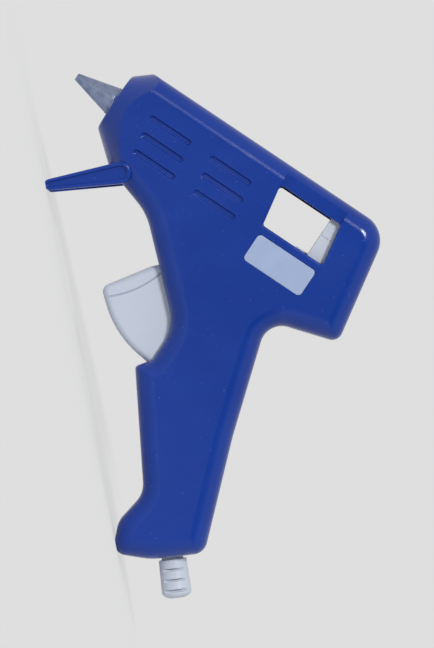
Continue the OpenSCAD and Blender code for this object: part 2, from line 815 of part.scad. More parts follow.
module feed_lever() {
    color([0.2, 0.2, 0.22]) stance() difference() {
        union() {
            across(lever_at, hub_r, -ear_out, ear_out);
            for (y = [ear_in, -ear_out]) slab(strip(lever_at, low_stud, root_r, pin_r + 1.4), y, y + ear_t);
            slab(strip(lever_at, top_stud, root_r, pin_r + 1.1), -arm_t / 2, arm_t / 2);
            for (stud = [low_stud, top_stud]) across(stud, pin_r, -ear_out, ear_out);
        }
        across(lever_at, pin_r + fit_gap, -ear_out - 1, ear_out + 1);
    }
}

module feed_carriage() {
    w = carriage_w / 2;
    rear = carriage_x + carriage_l;
    low = rail_low + slide_gap;
    slot_r = pin_r + swing_gap;
    ear_low = top_stud[1] - slot_r - 1.5;
    color(white) stance() difference() {
        union() {
            block([carriage_x, rear], [-w, w], [low, rail_top - slide_gap]);
            for (y = [ear_in, -ear_out])
                block([top_stud[0] - slot_r - 1.5, rear], [y, y + ear_t], [ear_low, low + 1]);
        }
        along(carriage_bore_r, carriage_x - 1, rear + 1);
        along(gripper_r + fit_gap, carriage_x - 1, carriage_x + gripper_t);
        slab(strip([top_stud[0], top_stud_mid_z], top_stud, slot_r, slot_r), -ear_out - 1, ear_out + 1);
        for (side = [-1, 1]) block([carriage_x - 1, rear + 1], side * w * [1, 1] + [-0.3, 0.3], [0.8, 1.2]);
    }
}

// Toothed washer in the carriage's front face
module stick_gripper() {
    color(steel) stance() difference() {
        along(gripper_r, carriage_x, carriage_x + gripper_t);
        along(sleeve_bore_r + 0.15, carriage_x - 1, carriage_x + gripper_t + 1);
        for (a = [0:60:300])
            rotate([a, 0, 0]) block([carriage_x - 1, carriage_x + 2], [-0.4, 0.4], [0, gripper_r - 1]);
    }
}

spring_end_x = spring_seat_x - spring_wire_r - fit_gap;
return_coil = coil(spring_start_x(), spring_end_x, spring_z, spring_r, spring_turns);
module return_spring() {
    color(steel) stance() tube(return_coil, spring_wire_r, 6, [1, 0, 0]);
}

// Cord entry

module strain_relief() {
    foot = 1;
    first_slot = relief_l - relief_dome - relief_slots * relief_pitch + 2.6;
    color(white) stance() on_relief() difference() {
        turned(concat(
            [[cord_r, flange_at], [flange_r, flange_at], [flange_r, flange_at + flange_t],
             [neck_r, flange_at + flange_t], [neck_r, foot], [relief_r, foot]],
            relief_tip,
            [[cord_r, relief_tip[len(relief_tip) - 1][1]]]));
        for (i = [0:relief_slots - 1], y = [relief_floor, -body_w]) {
            x = first_slot + i * relief_pitch;
            block([x, x + relief_slot_w], [y, y + body_w - relief_floor], [-body_w, body_w]);
        }
    }
}

module cord_clamp() {
    y = cord_r + fit_gap;
    color([0.15, 0.15, 0.16]) stance() difference() {
        slab(strip(clamp_places[0], clamp_places[1], boss_r, boss_r), y, y + clamp_t);
        for (p = clamp_places) across(p, screw_r + slide_gap, -1, half_w);
    }
}

module clamp_screws() {
    color(steel) stance() for (p = clamp_places) screw(p, cord_r + fit_gap + clamp_t, -clamp_end);
}

// Way of a lead from its contact tab to its crimp, for the far side
lead_way = [
    [62, 2.8, -12], [66, 6, -16], [70, 9.2, -20], [76, 9.6, -27], [84, 9.6, -38], [92, 9.6, -52],
    [97, 9.6, -66], [98.6, 7, -74], [98.2, 3.6, -79], [98, 3, -82], [97.8, 3, -85]
];
crimp_l = 8;
function smooth(p, steps) =
    let (n = len(p))
    [for (i = [0:n - 2], k = [0:steps - 1])
        let (a = p[max(i - 1, 0)], b = p[i], c = p[i + 1], d = p[min(i + 2, n - 1)], t = k / steps)
        b + 0.5 * ((c - a) * t + (2 * a - 5 * b + 4 * c - d) * t ^ 2 + (3 * b - a - 3 * c + d) * t ^ 3),
     p[n - 1]];

module lead(side, z) {
    tab_end = [tunnel_x + tunnel_l + tab_l + 3 * fit_gap, side * (heater_w / 2 - 2), z + plate_t / 2];
    way = [for (p = lead_way) [p[0], side * p[1], p[2]]];
    tube(smooth(concat([tab_end], way), 3), lead_r, 8, [0, 1, 0.2]);
}

module lead_wires() {
    color([0.6, 0.1, 0.1]) stance() {
        lead(-1, stack_z + heater_t / 2);
        lead(1, stack_z - heater_t / 2 - plate_t);
    }
}

module wire_crimps() {
    n = len(lead_way);
    dir = unit(lead_way[n - 1] - lead_way[n - 2]);
    start = lead_way[n - 2] + 0.6 * dir;
    color(copper) stance() for (side = [-1, 1])
        translate([start[0], side * start[1], start[2]]) rotate([0, acos(dir[2]), atan2(dir[1], dir[0])])
            difference() {
                cylinder(h = crimp_l, r = lead_r + 0.8);
                translate([0, 0, -1]) cylinder(h = crimp_l + 2, r = lead_r + fit_gap);
            }
}

echo(return_spring_gap = coil_gap(return_coil, spring_wire_r));
echo(check_spring_gap = coil_gap(valve_coil, valve_wire_r));

left_housing();
right_housing();
housing_screws();
nozzle();
check_ball();
check_spring();
melt_chamber();
front_collar();
ptc_heater();
upper_electrode();
lower_electrode();
heater_film();
inlet_sleeve();
sleeve_clip();
trigger();
trigger_pin();
feed_lever();
lever_pin();
feed_carriage();
stick_gripper();
return_spring();
strain_relief();
cord_clamp();
clamp_screws();
lead_wires();
wire_crimps();
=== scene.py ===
"""Looks of a small hot-glue gun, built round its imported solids.

Pieces are drawn in the gun's own frame in millimetres: nozzle tip at the origin, X rearward along the
barrel, Z up and Y across. Stance carries them into the row frame, in metres, where the gun stands on its
legs and on the heel of its grip.
"""

from __future__ import annotations

import json
import logging
import math
from dataclasses import dataclass, field
from enum import Enum
from itertools import product
from typing import Any, Callable, Sequence

import bmesh
import bpy
import numpy as np
from mathutils import Matrix, Vector

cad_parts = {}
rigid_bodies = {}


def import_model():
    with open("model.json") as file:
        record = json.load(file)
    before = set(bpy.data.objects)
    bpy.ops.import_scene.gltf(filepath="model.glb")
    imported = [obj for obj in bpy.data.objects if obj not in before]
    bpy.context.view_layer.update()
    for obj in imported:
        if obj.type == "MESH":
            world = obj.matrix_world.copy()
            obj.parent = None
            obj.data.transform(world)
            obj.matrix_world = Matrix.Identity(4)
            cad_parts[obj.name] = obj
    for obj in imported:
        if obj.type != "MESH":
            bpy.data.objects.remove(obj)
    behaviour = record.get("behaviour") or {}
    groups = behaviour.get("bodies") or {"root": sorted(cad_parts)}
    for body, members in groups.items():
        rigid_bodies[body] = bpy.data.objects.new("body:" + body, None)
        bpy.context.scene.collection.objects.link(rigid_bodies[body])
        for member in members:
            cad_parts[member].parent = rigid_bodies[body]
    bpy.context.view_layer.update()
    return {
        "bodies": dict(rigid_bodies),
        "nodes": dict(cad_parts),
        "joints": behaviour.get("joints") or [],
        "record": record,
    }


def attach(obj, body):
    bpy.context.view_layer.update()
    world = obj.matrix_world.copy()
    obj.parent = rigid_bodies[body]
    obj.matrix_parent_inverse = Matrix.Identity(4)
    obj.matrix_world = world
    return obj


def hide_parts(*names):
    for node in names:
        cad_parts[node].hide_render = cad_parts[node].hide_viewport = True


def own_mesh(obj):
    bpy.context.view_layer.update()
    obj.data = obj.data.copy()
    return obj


LOG = logging.getLogger("glue_gun")
MM = 0.001

# Distances within which points count as one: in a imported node, in metres, and in a finished solid
NODE_MERGE = 2e-7
PIECE_MERGE = 0.002

# How far a cutter stands out of the surface it cuts, and how far it goes past what it has to reach
CLEAR = 2.0
PAST = 1.0

Point = tuple[float, float]
Corner = tuple[float, float, float]
Ring = tuple[float, list[Point]]
Grown = Callable[[float], list[Point]]
Colour = tuple[float, float, float]

# Space below the bench top: its ends along X, Y and Z of the row frame, in metres
BELOW_BENCH: tuple[Point, Point, Point] = ((-0.3, 0.3), (-0.1, 0.1), (-0.1, 0.0))


class Side(Enum):
    """Half of the gun: near lies towards the camera, at negative Y."""

    NEAR = -1
    FAR = 1


class Cut(Enum):
    """How one solid acts on another."""

    AWAY = "DIFFERENCE"
    JOIN = "UNION"
    COMMON = "INTERSECT"


class Body(Enum):
    """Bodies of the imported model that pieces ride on."""

    HOUSING = "housing"
    TRIGGER = "trigger"
    CARRIAGE = "carriage"


# Outlines in the side view


def unit(v: np.ndarray) -> np.ndarray:
    """Return v at length one."""
    return v / np.linalg.norm(v)


def polar(centre: Sequence[float], r: float, deg: float) -> Point:
    """Return the point at radius r and angle deg about centre."""
    a = math.radians(deg)
    return (centre[0] + r * math.cos(a), centre[1] + r * math.sin(a))


def circle(centre: Point, r: float, count: int = 64) -> list[Point]:
    """Return a round outline of count points, clockwise."""
    return [polar(centre, r, -360 * i / count) for i in range(count)]


def rounded(corners: Sequence[Corner], step: float = 4.0) -> list[Point]:
    """Turn corners into an outline with an arc at each.

    Args:
        corners: Clockwise corners as x, z and radius.
        step: Largest turn in degrees between neighbouring points.

    Returns:
        Points of the outline, as many for an inset copy of the same corners.
    """
    points: list[Point] = []
    count = len(corners)
    for i, (x, z, r) in enumerate(corners):
        at = np.array((x, z))
        a = unit(np.array(corners[i - 1][:2]) - at)
        b = unit(np.array(corners[(i + 1) % count][:2]) - at)
        half = math.acos(float(np.clip(a @ b, -1, 1))) / 2
        centre = at + unit(a + b) * r / math.sin(half)
        ends = [at + v * r / math.tan(half) - centre for v in (a, b)]
        start, stop = (math.degrees(math.atan2(e[1], e[0])) for e in ends)
        sweep = (stop - start + 180) % 360 - 180
        steps = max(2, math.ceil(round((180 - 2 * math.degrees(half)) / step, 4)))
        points += [polar(centre, r, start + sweep * k / steps) for k in range(steps + 1)]
    return points


def inset(corners: Sequence[Corner], depth: float, least: float = 0.4) -> list[Corner]:
    """Move clockwise corners inwards, their radii with them.

    Args:
        corners: Corners as x, z and radius.
        depth: Distance inwards; a negative one moves them outwards.
        least: Smallest radius left at an outer corner.

    Returns:
        The moved corners.
    """
    moved: list[Corner] = []
    count = len(corners)
    for i, (x, z, r) in enumerate(corners):
        at = np.array((x, z))
        u = unit(at - np.array(corners[i - 1][:2]))
        v = unit(np.array(corners[(i + 1) % count][:2]) - at)
        a, b = np.array((u[1], -u[0])), np.array((v[1], -v[0]))
        to = at + (a + b) * depth / (1 + a @ b)
        convex = u[0] * v[1] - u[1] * v[0] < 0
        moved.append((to[0], to[1], max(r - depth, least) if convex else r + depth))
    return moved


def strip(a: Point, b: Point, ra: float, rb: float, count: int = 24) -> list[Point]:
    """Outline a strip with round ends.

    Args:
        a: Centre of the first end.
        b: Centre of the last end.
        ra: Radius of the first end.
        rb: Radius of the last end.
        count: Steps round each end.

    Returns:
        Points of the outline, clockwise.
    """
    along = math.degrees(math.atan2(b[1] - a[1], b[0] - a[0]))
    lean = math.degrees(math.acos((ra - rb) / math.dist(a, b)))
    first = [polar(a, ra, along + lean + (360 - 2 * lean) * i / count) for i in range(count + 1)]
    last = [polar(b, rb, along - lean + 2 * lean * i / count) for i in range(count + 1)]
    return (first + last)[::-1]


def growing(corners: Sequence[Corner]) -> Grown:
    """Return a function that gives the outline of corners, grown by a distance."""
    return lambda d: rounded(inset(corners, -d))


def growing_strip(a: Point, b: Point, ra: float, rb: float) -> Grown:
    """Return a function that gives a round-ended strip, grown by a distance."""
    return lambda d: strip(a, b, ra + d, rb + d)


def quarter(steps: int) -> list[Point]:
    """Return the cosine and sine at even steps of a quarter turn, from its end back to its start."""
    turns = [math.pi / 2 * k / steps for k in range(steps, -1, -1)]
    return [(math.cos(a), math.sin(a)) for a in turns]


# Solids


def linked(name: str, data: bpy.types.ID) -> bpy.types.Object:
    """Make an object and link it to the scene.

    Args:
        name: The object's name.
        data: What it holds, such as a mesh.

    Returns:
        The object.
    """
    made = bpy.data.objects.new(name, data)
    bpy.context.scene.collection.objects.link(made)
    return made


def evaluated(made: bpy.types.Object) -> bpy.types.Mesh:
    """Apply an object's modifiers in a mesh of its own.

    Args:
        made: The object, which stays as it is.

    Returns:
        The plain mesh.
    """
    graph = bpy.context.evaluated_depsgraph_get()
    graph.update()
    return bpy.data.meshes.new_from_object(made.evaluated_get(graph), depsgraph=graph)


def settle(made: bpy.types.Object) -> None:
    """Replace an object's mesh by its evaluated one and drop its modifiers.

    Args:
        made: The object.
    """
    mesh = evaluated(made)
    old = made.data
    made.modifiers.clear()
    made.data = mesh
    mesh.name = made.name
    if old.users == 0:
        bpy.data.meshes.remove(old)


@dataclass
class Solid:
    """Closed mesh in the gun's frame, in millimetres."""

    mesh: bmesh.types.BMesh

    @classmethod
    def loft(cls, rings: Sequence[Ring]) -> Solid:
        """Make a skin over outlines of equal length.

        Args:
            rings: Outlines with their y, from one end to the other.

        Returns:
            The closed solid.
        """
        mesh = bmesh.new()
        rows = [[mesh.verts.new((x, y, z)) for x, z in points] for y, points in rings]
        count = len(rows[0])
        for low, high in zip(rows, rows[1:]):
            for i in range(count):
                j = (i + 1) % count
                mesh.faces.new((low[i], low[j], high[j], high[i]))
        for end in (rows[0], rows[-1]):
            mesh.faces.new(end)
        return cls(mesh)._outward()

    @classmethod
    def slab(cls, points: list[Point], y0: float, y1: float) -> Solid:
        """Return an outline given thickness from y0 to y1."""
        return cls.loft([(y0, points), (y1, points)])

    @classmethod
    def block(cls, x: Point, y: Point, z: Point) -> Solid:
        """Return a box between two values on each axis."""
        return cls.slab([(x[0], z[1]), (x[1], z[1]), (x[1], z[0]), (x[0], z[0])], *y)

    @classmethod
    def turned(cls, profile: Sequence[Point], count: int = 96) -> Solid:
        """Turn a closed profile about the barrel axis.

        Args:
            profile: Points as radius and distance along X.
            count: Segments round the axis.

        Returns:
            The closed solid.
        """
        mesh = bmesh.new()
        poles = {x: mesh.verts.new((x, 0, 0)) for r, x in profile if r == 0}
        rows: list[list[bmesh.types.BMVert]] = []
        for i in range(count):
            c, s = math.cos(math.tau * i / count), math.sin(math.tau * i / count)
            rows.append([mesh.verts.new((x, r * c, r * s)) if r else poles[x] for r, x in profile])
        for i, row in enumerate(rows):
            following = rows[(i + 1) % count]
            for j in range(len(profile)):
                k = (j + 1) % len(profile)
                corners = list(dict.fromkeys((row[j], row[k], following[k], following[j])))
                if len(corners) > 2:
                    mesh.faces.new(corners)
        return cls(mesh)._outward()

    @classmethod
    def along(cls, r: float, x0: float, x1: float) -> Solid:
        """Return a cylinder along the barrel axis."""
        return cls.turned([(0, x0), (r, x0), (r, x1), (0, x1)])

    @classmethod
    def across(cls, at: Point, r: float, y0: float, y1: float, lip: float) -> Solid:
        """Make a cylinder along Y, opened out by a rounded lip at y1.

        Args:
            at: Its axis in the side view.
            r: Its radius.
            y0: Its plain end.
            y1: Its other end, where the surface lies.
            lip: Radius of the lip.

        Returns:
            The closed solid.
        """
        return cls.loft([(y0, circle(at, r))] + lip_rings(lambda d: circle(at, r + d), y1, lip, -1))

    @classmethod
    def of_node(cls, node: bpy.types.Object, stance: Stance) -> Solid:
        """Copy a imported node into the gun's frame, with its points merged.

        Args:
            node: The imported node.
            stance: Where the gun stands.

        Returns:
            The solid.
        """
        mesh = bmesh.new()
        mesh.from_mesh(node.data)
        bmesh.ops.remove_doubles(mesh, verts=mesh.verts, dist=NODE_MERGE)
        mesh.transform(stance.matrix.inverted())
        return cls(mesh)

    def _outward(self) -> Solid:
        """Turn every face outwards and return the solid."""
        bmesh.ops.recalc_face_normals(self.mesh, faces=self.mesh.faces)
        return self

    def mirrored(self) -> Solid:
        """Mirror the solid across the parting plane.

        Returns:
            The mirrored copy.
        """
        mesh = self.mesh.copy()
        mesh.transform(Matrix.Diagonal((1, -1, 1, 1)))
        bmesh.ops.reverse_faces(mesh, faces=mesh.faces)
        return Solid(mesh)

    def on(self, side: Side) -> Solid:
        """Return the solid, mirrored where the side is the far one."""
        return self if side is Side.NEAR else self.mirrored()

    def _object(self, name: str) -> bpy.types.Object:
        """Make a linked object that holds a plain copy of the mesh.

        Args:
            name: The object's name.

        Returns:
            The object.
        """
        data = bpy.data.meshes.new(name)
        self.mesh.to_mesh(data)
        return linked(name, data)

    def combine(self, other: Solid, cut: Cut) -> Solid:
        """Cut away, join or keep what is common with another solid.

        Args:
            other: The solid that acts on this one.
            cut: What it does.

        Returns:
            The new solid.
        """
        whole, tool = self._object("whole"), other._object("tool")
        modifier = whole.modifiers.new("combine", "BOOLEAN")
        modifier.object = tool
        modifier.operation = cut.value
        closed = all(edge.is_manifold for solid in (self, other) for edge in solid.mesh.edges)
        modifier.solver = "MANIFOLD" if closed else "EXACT"
        return self._taken(evaluated(whole), whole, tool)

    def cut(self, *tools: Solid) -> Solid:
        """Cut tools away, one after the other.

        Args:
            tools: What is cut away.

        Returns:
            The new solid.
        """
        solid = self
        for tool in tools:
            solid = solid.combine(tool, Cut.AWAY)
        return solid

    def join(self, *others: Solid) -> Solid:
        """Join others to the solid, one after the other.

        Args:
            others: What is joined to it.

        Returns:
            The new solid.
        """
        solid = self
        for other in others:
            solid = solid.combine(other, Cut.JOIN)
        return solid

    def eased(self, width: float, flat_deg: float = 1.0, hard_deg: float = 40.0) -> Solid:
        """Round over the hard edges.

        Args:
            width: Width of the rounding.
            flat_deg: Angle below which faces count as one.
            hard_deg: Angle past which an edge is rounded.

        Returns:
            The eased solid.
        """
        flat = math.radians(flat_deg)
        bmesh.ops.dissolve_limit(self.mesh, angle_limit=flat, verts=self.mesh.verts, edges=self.mesh.edges)
        hard = self._object("hard")
        bevel = hard.modifiers.new("ease", "BEVEL")
        bevel.width = width
        bevel.segments = 3
        bevel.limit_method = "ANGLE"
        bevel.angle_limit = math.radians(hard_deg)
        return self._taken(evaluated(hard), hard)

    @staticmethod
    def _taken(result: bpy.types.Mesh, *spares: bpy.types.Object) -> Solid:
        """Take a mesh over as a solid and remove it, with the objects it came from.

        Args:
            result: The mesh.
            spares: The objects.

        Returns:
            The solid.
        """
        mesh = bmesh.new()
        mesh.from_mesh(result)
        data = [spare.data for spare in spares]
        for spare in spares:
            bpy.data.objects.remove(spare)
        for old in (result, *data):
            bpy.data.meshes.remove(old)
        return Solid(mesh)

    def piece(self, name: str, stance: Stance, sharp_deg: float = 28.0) -> bpy.types.Object:
        """Make an object in the row frame, shaded smooth up to an angle.

        Args:
            name: The object's name.
            stance: Where the gun stands.
            sharp_deg: Angle past which an edge stays sharp.

        Returns:
            The object, at the origin, with its place in its mesh.
        """
        bmesh.ops.remove_doubles(self.mesh, verts=self.mesh.verts, dist=PIECE_MERGE)
        bmesh.ops.dissolve_degenerate(self.mesh, edges=self.mesh.edges, dist=PIECE_MERGE / 2)
        self.mesh.transform(stance.matrix)
        limit = math.radians(sharp_deg)
        for edge in self.mesh.edges:
            edge.smooth = len(edge.link_faces) == 2 and edge.calc_face_angle() < limit
        for face in self.mesh.faces:
            face.smooth = True
        made = self._object(name)
        weighted = made.modifiers.new("flat_faces_first", "WEIGHTED_NORMAL")
        weighted.keep_sharp = True
        weighted.weight = 80
        settle(made)
        return made


def lip_rings(grown: Grown, y: float, lip: float, inward: int) -> list[Ring]:
    """Rings of a cutter that rounds over the edge of the hole it makes.

    Args:
        grown: Gives the hole's outline, grown by a distance.
        y: The surface that is cut.
        lip: Radius of the rounded edge.
        inward: Direction along Y from the surface into the material.

    Returns:
        Rings from the hole's wall out past the surface.
    """
    steps, over = 5, 0.004
    rings = [(y + inward * (lip * (1 - c) - over), grown(lip * (1 - s))) for c, s in quarter(steps)]
    return rings + [(y - inward * CLEAR, grown(lip))]


def pocket(grown: Grown, y: float, depth: float, lip: float, root: float) -> Solid:
    """Cutter for a pocket in the near side.

    Args:
        grown: Gives the pocket's outline, grown by a distance.
        y: The surface that is cut.
        depth: Depth of the pocket.
        lip: Radius of its outer edge.
        root: Radius of the edge round its floor.

    Returns:
        The cutter.
    """
    steps = 4
    floor = [(y + depth - root * (1 - c), grown(-root * (1 - s))) for c, s in reversed(quarter(steps))]
    return Solid.loft(floor + lip_rings(grown, y, lip, 1))


def edge_rings(corners: Sequence[Corner], w: float, reach: float, drop: float, steps: int) -> list[Ring]:
    """Rings of an edge that rounds over from the flat side at -w.

    Args:
        corners: Outline of the full form.
        w: Half width of the form.
        reach: Reach of the rounding across the width.
        drop: Depth by which the rounding draws the outline in.
        steps: Steps of the rounding.

    Returns:
        Rings from the flat side to the full outline.
    """
    return [(reach - w - reach * s, rounded(inset(corners, drop * (1 - c)))) for c, s in quarter(steps)]


@dataclass(frozen=True)
class Stance:
    """Where the gun's frame lies in the row frame."""

    matrix: Matrix

    @classmethod
    def from_joints(cls, joints: list[dict[str, Any]], trigger_at: Point) -> Stance:
        """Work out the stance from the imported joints.

        Args:
            joints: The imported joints.
            trigger_at: The trigger's pivot in the gun's frame.

        Returns:
            The stance.
        """
        by_name = {joint["name"]: joint for joint in joints}
        back = -Vector(by_name["carriage_slide"]["axis"]).normalized()
        up = back.cross(Vector((0, 1, 0)))
        turn = Matrix((back, (0, 1, 0), up)).transposed() * MM
        pivot = Vector(by_name["trigger_pull"]["pos_m"])
        origin = pivot - turn @ Vector((trigger_at[0], 0, trigger_at[1]))
        return cls(Matrix.Translation(origin) @ turn.to_4x4())

    def point(self, x: float, y: float, z: float) -> Vector:
        """Return a point of the gun's frame in the row frame."""
        return self.matrix @ Vector((x, y, z))

    def direction(self, x: float, z: float) -> Vector:
        """Return a direction of the gun's side view in the row frame."""
        return (self.matrix.to_3x3() @ Vector((x, 0, z))).normalized()


# Finishes


def toned(colour: Colour, gain: float, lift: float = 0.0) -> Colour:
    """Return a colour multiplied by a gain and raised by a lift, at most white."""
    red, green, blue = (min(1.0, gain * c + lift) for c in colour)
    return (red, green, blue)


@dataclass(frozen=True)
class Socket:
    """Output of a shader node that Python operators work on."""

    tree: ShaderTree
    output: bpy.types.NodeSocket

    def _math(self, operation: str, a: Any, b: Any) -> Socket:
        """Return the result of a Math node on two values."""
        return self.tree.node("ShaderNodeMath", {"operation": operation}, {0: a, 1: b})

    def __add__(self, other: Any) -> Socket:
        """Add a value."""
        return self._math("ADD", self, other)

    __radd__ = __add__

    def __mul__(self, other: Any) -> Socket:
        """Multiply by a value."""
        return self._math("MULTIPLY", self, other)

    __rmul__ = __mul__


class ShaderTree:
    """Node tree of a material or a world, written as expressions."""

    def __init__(self, owner: bpy.types.Material | bpy.types.World) -> None:
        """Start with an empty tree.

        Args:
            owner: The material or world whose tree it is.
        """
        owner.use_nodes = True
        self.tree = owner.node_tree
        self.tree.nodes.clear()

    def node(
        self,
        kind: str,
        settings: dict[str, Any] | None = None,
        inputs: dict[Any, Any] | None = None,
        output: Any = 0,
    ) -> Socket:
        """Add a node.

        Args:
            kind: The node's type.
            settings: Its properties, set first.
            inputs: Values or sockets by input name or place.
            output: Name or place of the output that is wanted.

        Returns:
            That output.
        """
        made = self.tree.nodes.new(kind)
        for name, value in (settings or {}).items():
            setattr(made, name, value)
        self.feed(made, inputs or {})
        return Socket(self, made.outputs[output])

    def feed(self, made: bpy.types.Node, inputs: dict[Any, Any]) -> None:
        """Set or link a node's inputs.

        Args:
            made: The node.
            inputs: Values or sockets by input name or place.
        """
        for name, value in inputs.items():
            if isinstance(value, Socket):
                self.tree.links.new(value.output, made.inputs[name])
            else:
                made.inputs[name].default_value = value

    def along(self, place: Socket, direction: Sequence[float]) -> Socket:
        """Return how far a place lies in a direction."""
        dot = {"operation": "DOT_PRODUCT"}
        return self.node("ShaderNodeVectorMath", dot, {0: place, 1: direction}, output="Value")

    def step(self, value: Socket, low: float, high: float, ends: Point = (0.0, 1.0)) -> Socket:
        """Go smoothly from one end to the other.

        Args:
            value: What the step follows.
            low: Value at which it starts.
            high: Value at which it is complete.
            ends: Results at its start and when it is complete.

        Returns:
            The result.
        """
        limits = {"From Min": low, "From Max": high, "To Min": ends[0], "To Max": ends[1]}
        smooth = {"interpolation_type": "SMOOTHSTEP"}
        return self.node("ShaderNodeMapRange", smooth, {"Value": value, **limits})

    def ray(self, kind: str) -> Socket:
        """Return whether the ray is of a kind, such as Camera."""
        return self.node("ShaderNodeLightPath", output=f"Is {kind} Ray")

    def end(self, kind: str, surface: Socket) -> bpy.types.Node:
        """Add the tree's output node.

        Args:
            kind: The node's type.
            surface: What it shows.

        Returns:
            The node.
        """
        made = self.tree.nodes.new(kind)
        self.feed(made, {"Surface": surface})
        return made


class Paint(ShaderTree):
    """Material with one shader."""

    def __init__(self, name: str) -> None:
        """Start a material with its shader linked to its output.

        Args:
            name: The material's name.
        """
        self.material = bpy.data.materials.new(name)
        super().__init__(self.material)
        self.shader = self.tree.nodes.new("ShaderNodeBsdfPrincipled")
        self.surface = Socket(self, self.shader.outputs["BSDF"])
        self.output = self.end("ShaderNodeOutputMaterial", self.surface)

    def place(self) -> Socket:
        """Return the point on the piece."""
        return self.node("ShaderNodeTexCoord", output="Object")

    def noise(self, size: float, detail: float = 2.0, stretch: Colour = (1, 1, 1)) -> Socket:
        """Return noise whose grains are about size metres wide, drawn out where stretch is small."""
        at = self.node("ShaderNodeMapping", inputs={"Vector": self.place(), "Scale": stretch})
        return self.node("ShaderNodeTexNoise", inputs={"Vector": at, "Scale": 1 / size, "Detail": detail})

    def patches(self, size: float, detail: float, spread: Point, stretch: Colour = (1, 1, 1)) -> Socket:
        """Return soft-edged patches: noise that steps from 0 to 1 between the values of spread."""
        return self.step(self.noise(size, detail, stretch), *spread)

    def blend(self, factor: Socket, a: Any, b: Any) -> Socket:
        """Return colour a going over to colour b with the factor."""
        first, last = (c if isinstance(c, Socket) else (*c, 1) for c in (a, b))
        return self.node("ShaderNodeMix", {"data_type": "RGBA"}, {0: factor, 6: first, 7: last}, output=2)

    def bump(self, height: Socket, depth: float) -> Socket:
        """Return a normal roughened by a height of about depth metres."""
        return self.node("ShaderNodeBump", inputs={"Height": height, "Strength": 1.0, "Distance": depth})

    def seen_as(self, colour: Colour, share: float) -> bpy.types.Material:
        """Let the camera see a share of an even colour on the surface.

        Args:
            colour: The even colour.
            share: Its share, from 0 to 1.

        Returns:
            The material.
        """
        even = self.node("ShaderNodeEmission", inputs={"Color": (*colour, 1)})
        factor = self.ray("Camera") * share
        mixed = self.node("ShaderNodeMixShader", inputs={0: factor, 1: self.surface, 2: even})
        self.feed(self.output, {"Surface": mixed})
        return self.material

    def shade(self, **inputs: Any) -> bpy.types.Material:
        """Feed the shader, with underscores for spaces in names, and return the material."""
        self.feed(self.shader, {name.replace("_", " "): value for name, value in inputs.items()})
        return self.material


@dataclass(frozen=True)
class MouldedPlastic:
    """Satin plastic with a spark-eroded grain, faint flow marks, rougher rubbed patches and pale specks
    that are painted glints, and dust.
    """

    name: str
    colour: Colour
    flow: Colour
    rough: float
    grain: float = 0.00035
    grain_depth: float = 0.000012
    # Pale specks in the base colour are painted glints of light, and dust; they are also a little rougher
    dust_and_glint_size: float = 0.0009
    dust_and_glint_share: float = 0.35
    gloss: float = 0.35
    flow_size: float = 0.022
    flow_stretch: Colour = (1, 1, 0.5)
    rub_size: float = 0.009
    dust_and_glint_tone: Point = (1.3, 0.12)  # gain, lift
    dust_and_glint_rough: float = 0.08
    rub_rough: float = 0.05

    def material(self) -> bpy.types.Material:
        """Mix the finish.

        Returns:
            The material.
        """
        paint = Paint(self.name)
        flow = paint.patches(self.flow_size, detail=3.0, spread=(0.35, 0.7), stretch=self.flow_stretch)
        # Pale specks: painted glints, and dust, lighter in colour than the plastic
        dust_and_glint_specks = paint.patches(self.dust_and_glint_size, detail=1.0, spread=(0.74, 0.8))
        rubbed = paint.patches(self.rub_size, detail=4.0, spread=(0.45, 0.75))
        body = paint.blend(flow, self.colour, self.flow)
        pale = toned(self.colour, *self.dust_and_glint_tone)
        grain = paint.noise(self.grain, detail=2.0)
        return paint.shade(
            Base_Color=paint.blend(dust_and_glint_specks * self.dust_and_glint_share, body, pale),
            Roughness=self.rough + self.rub_rough * rubbed + self.dust_and_glint_rough * dust_and_glint_specks,
            Normal=paint.bump(grain, self.grain_depth),
            Specular_IOR_Level=self.gloss,
        )


@dataclass(frozen=True)
class TurnedMetal:
    """Bare metal with fine tool marks across the barrel and a dulled skin."""

    name: str
    colour: Colour
    dull: Colour
    along: Vector
    mark: float = 0.00025
    mark_depth: float = 0.00002
    skin: float = 0.0025
    rough: float = 0.24
    skin_rough: float = 0.16
    mark_rough: float = 0.1

    def material(self) -> bpy.types.Material:
        """Mix the finish.

        Returns:
            The material.
        """
        paint = Paint(self.name)
        run = paint.along(paint.place(), self.along)
        one_way = {"noise_dimensions": "1D"}
        marks = paint.node("ShaderNodeTexNoise", one_way, {"W": run, "Scale": 1 / self.mark})
        skin = paint.patches(self.skin, detail=4.0, spread=(0.4, 0.7))
        return paint.shade(
            Base_Color=paint.blend(skin, self.colour, self.dull),
            Metallic=1.0,
            Roughness=self.rough + self.skin_rough * skin + self.mark_rough * marks,
            Normal=paint.bump(marks, self.mark_depth),
        )


@dataclass(frozen=True)
class BrightSteel:
    """Drawn or plated steel with light stains."""

    name: str
    colour: Colour
    rough: float = 0.25
    stain: float = 0.0015
    stained: float = 0.72
    stain_rough: float = 0.15
    grain: float = 0.0002
    grain_depth: float = 0.000006

    def material(self) -> bpy.types.Material:
        """Mix the finish.

        Returns:
            The material.
        """
        paint = Paint(self.name)
        stain = paint.patches(self.stain, detail=3.0, spread=(0.4, 0.75))
        darker = toned(self.colour, self.stained)
        return paint.shade(
            Base_Color=paint.blend(stain, self.colour, darker),
            Metallic=1.0,
            Roughness=self.rough + self.stain_rough * stain,
            Normal=paint.bump(paint.noise(self.grain, detail=1.0), self.grain_depth),
        )


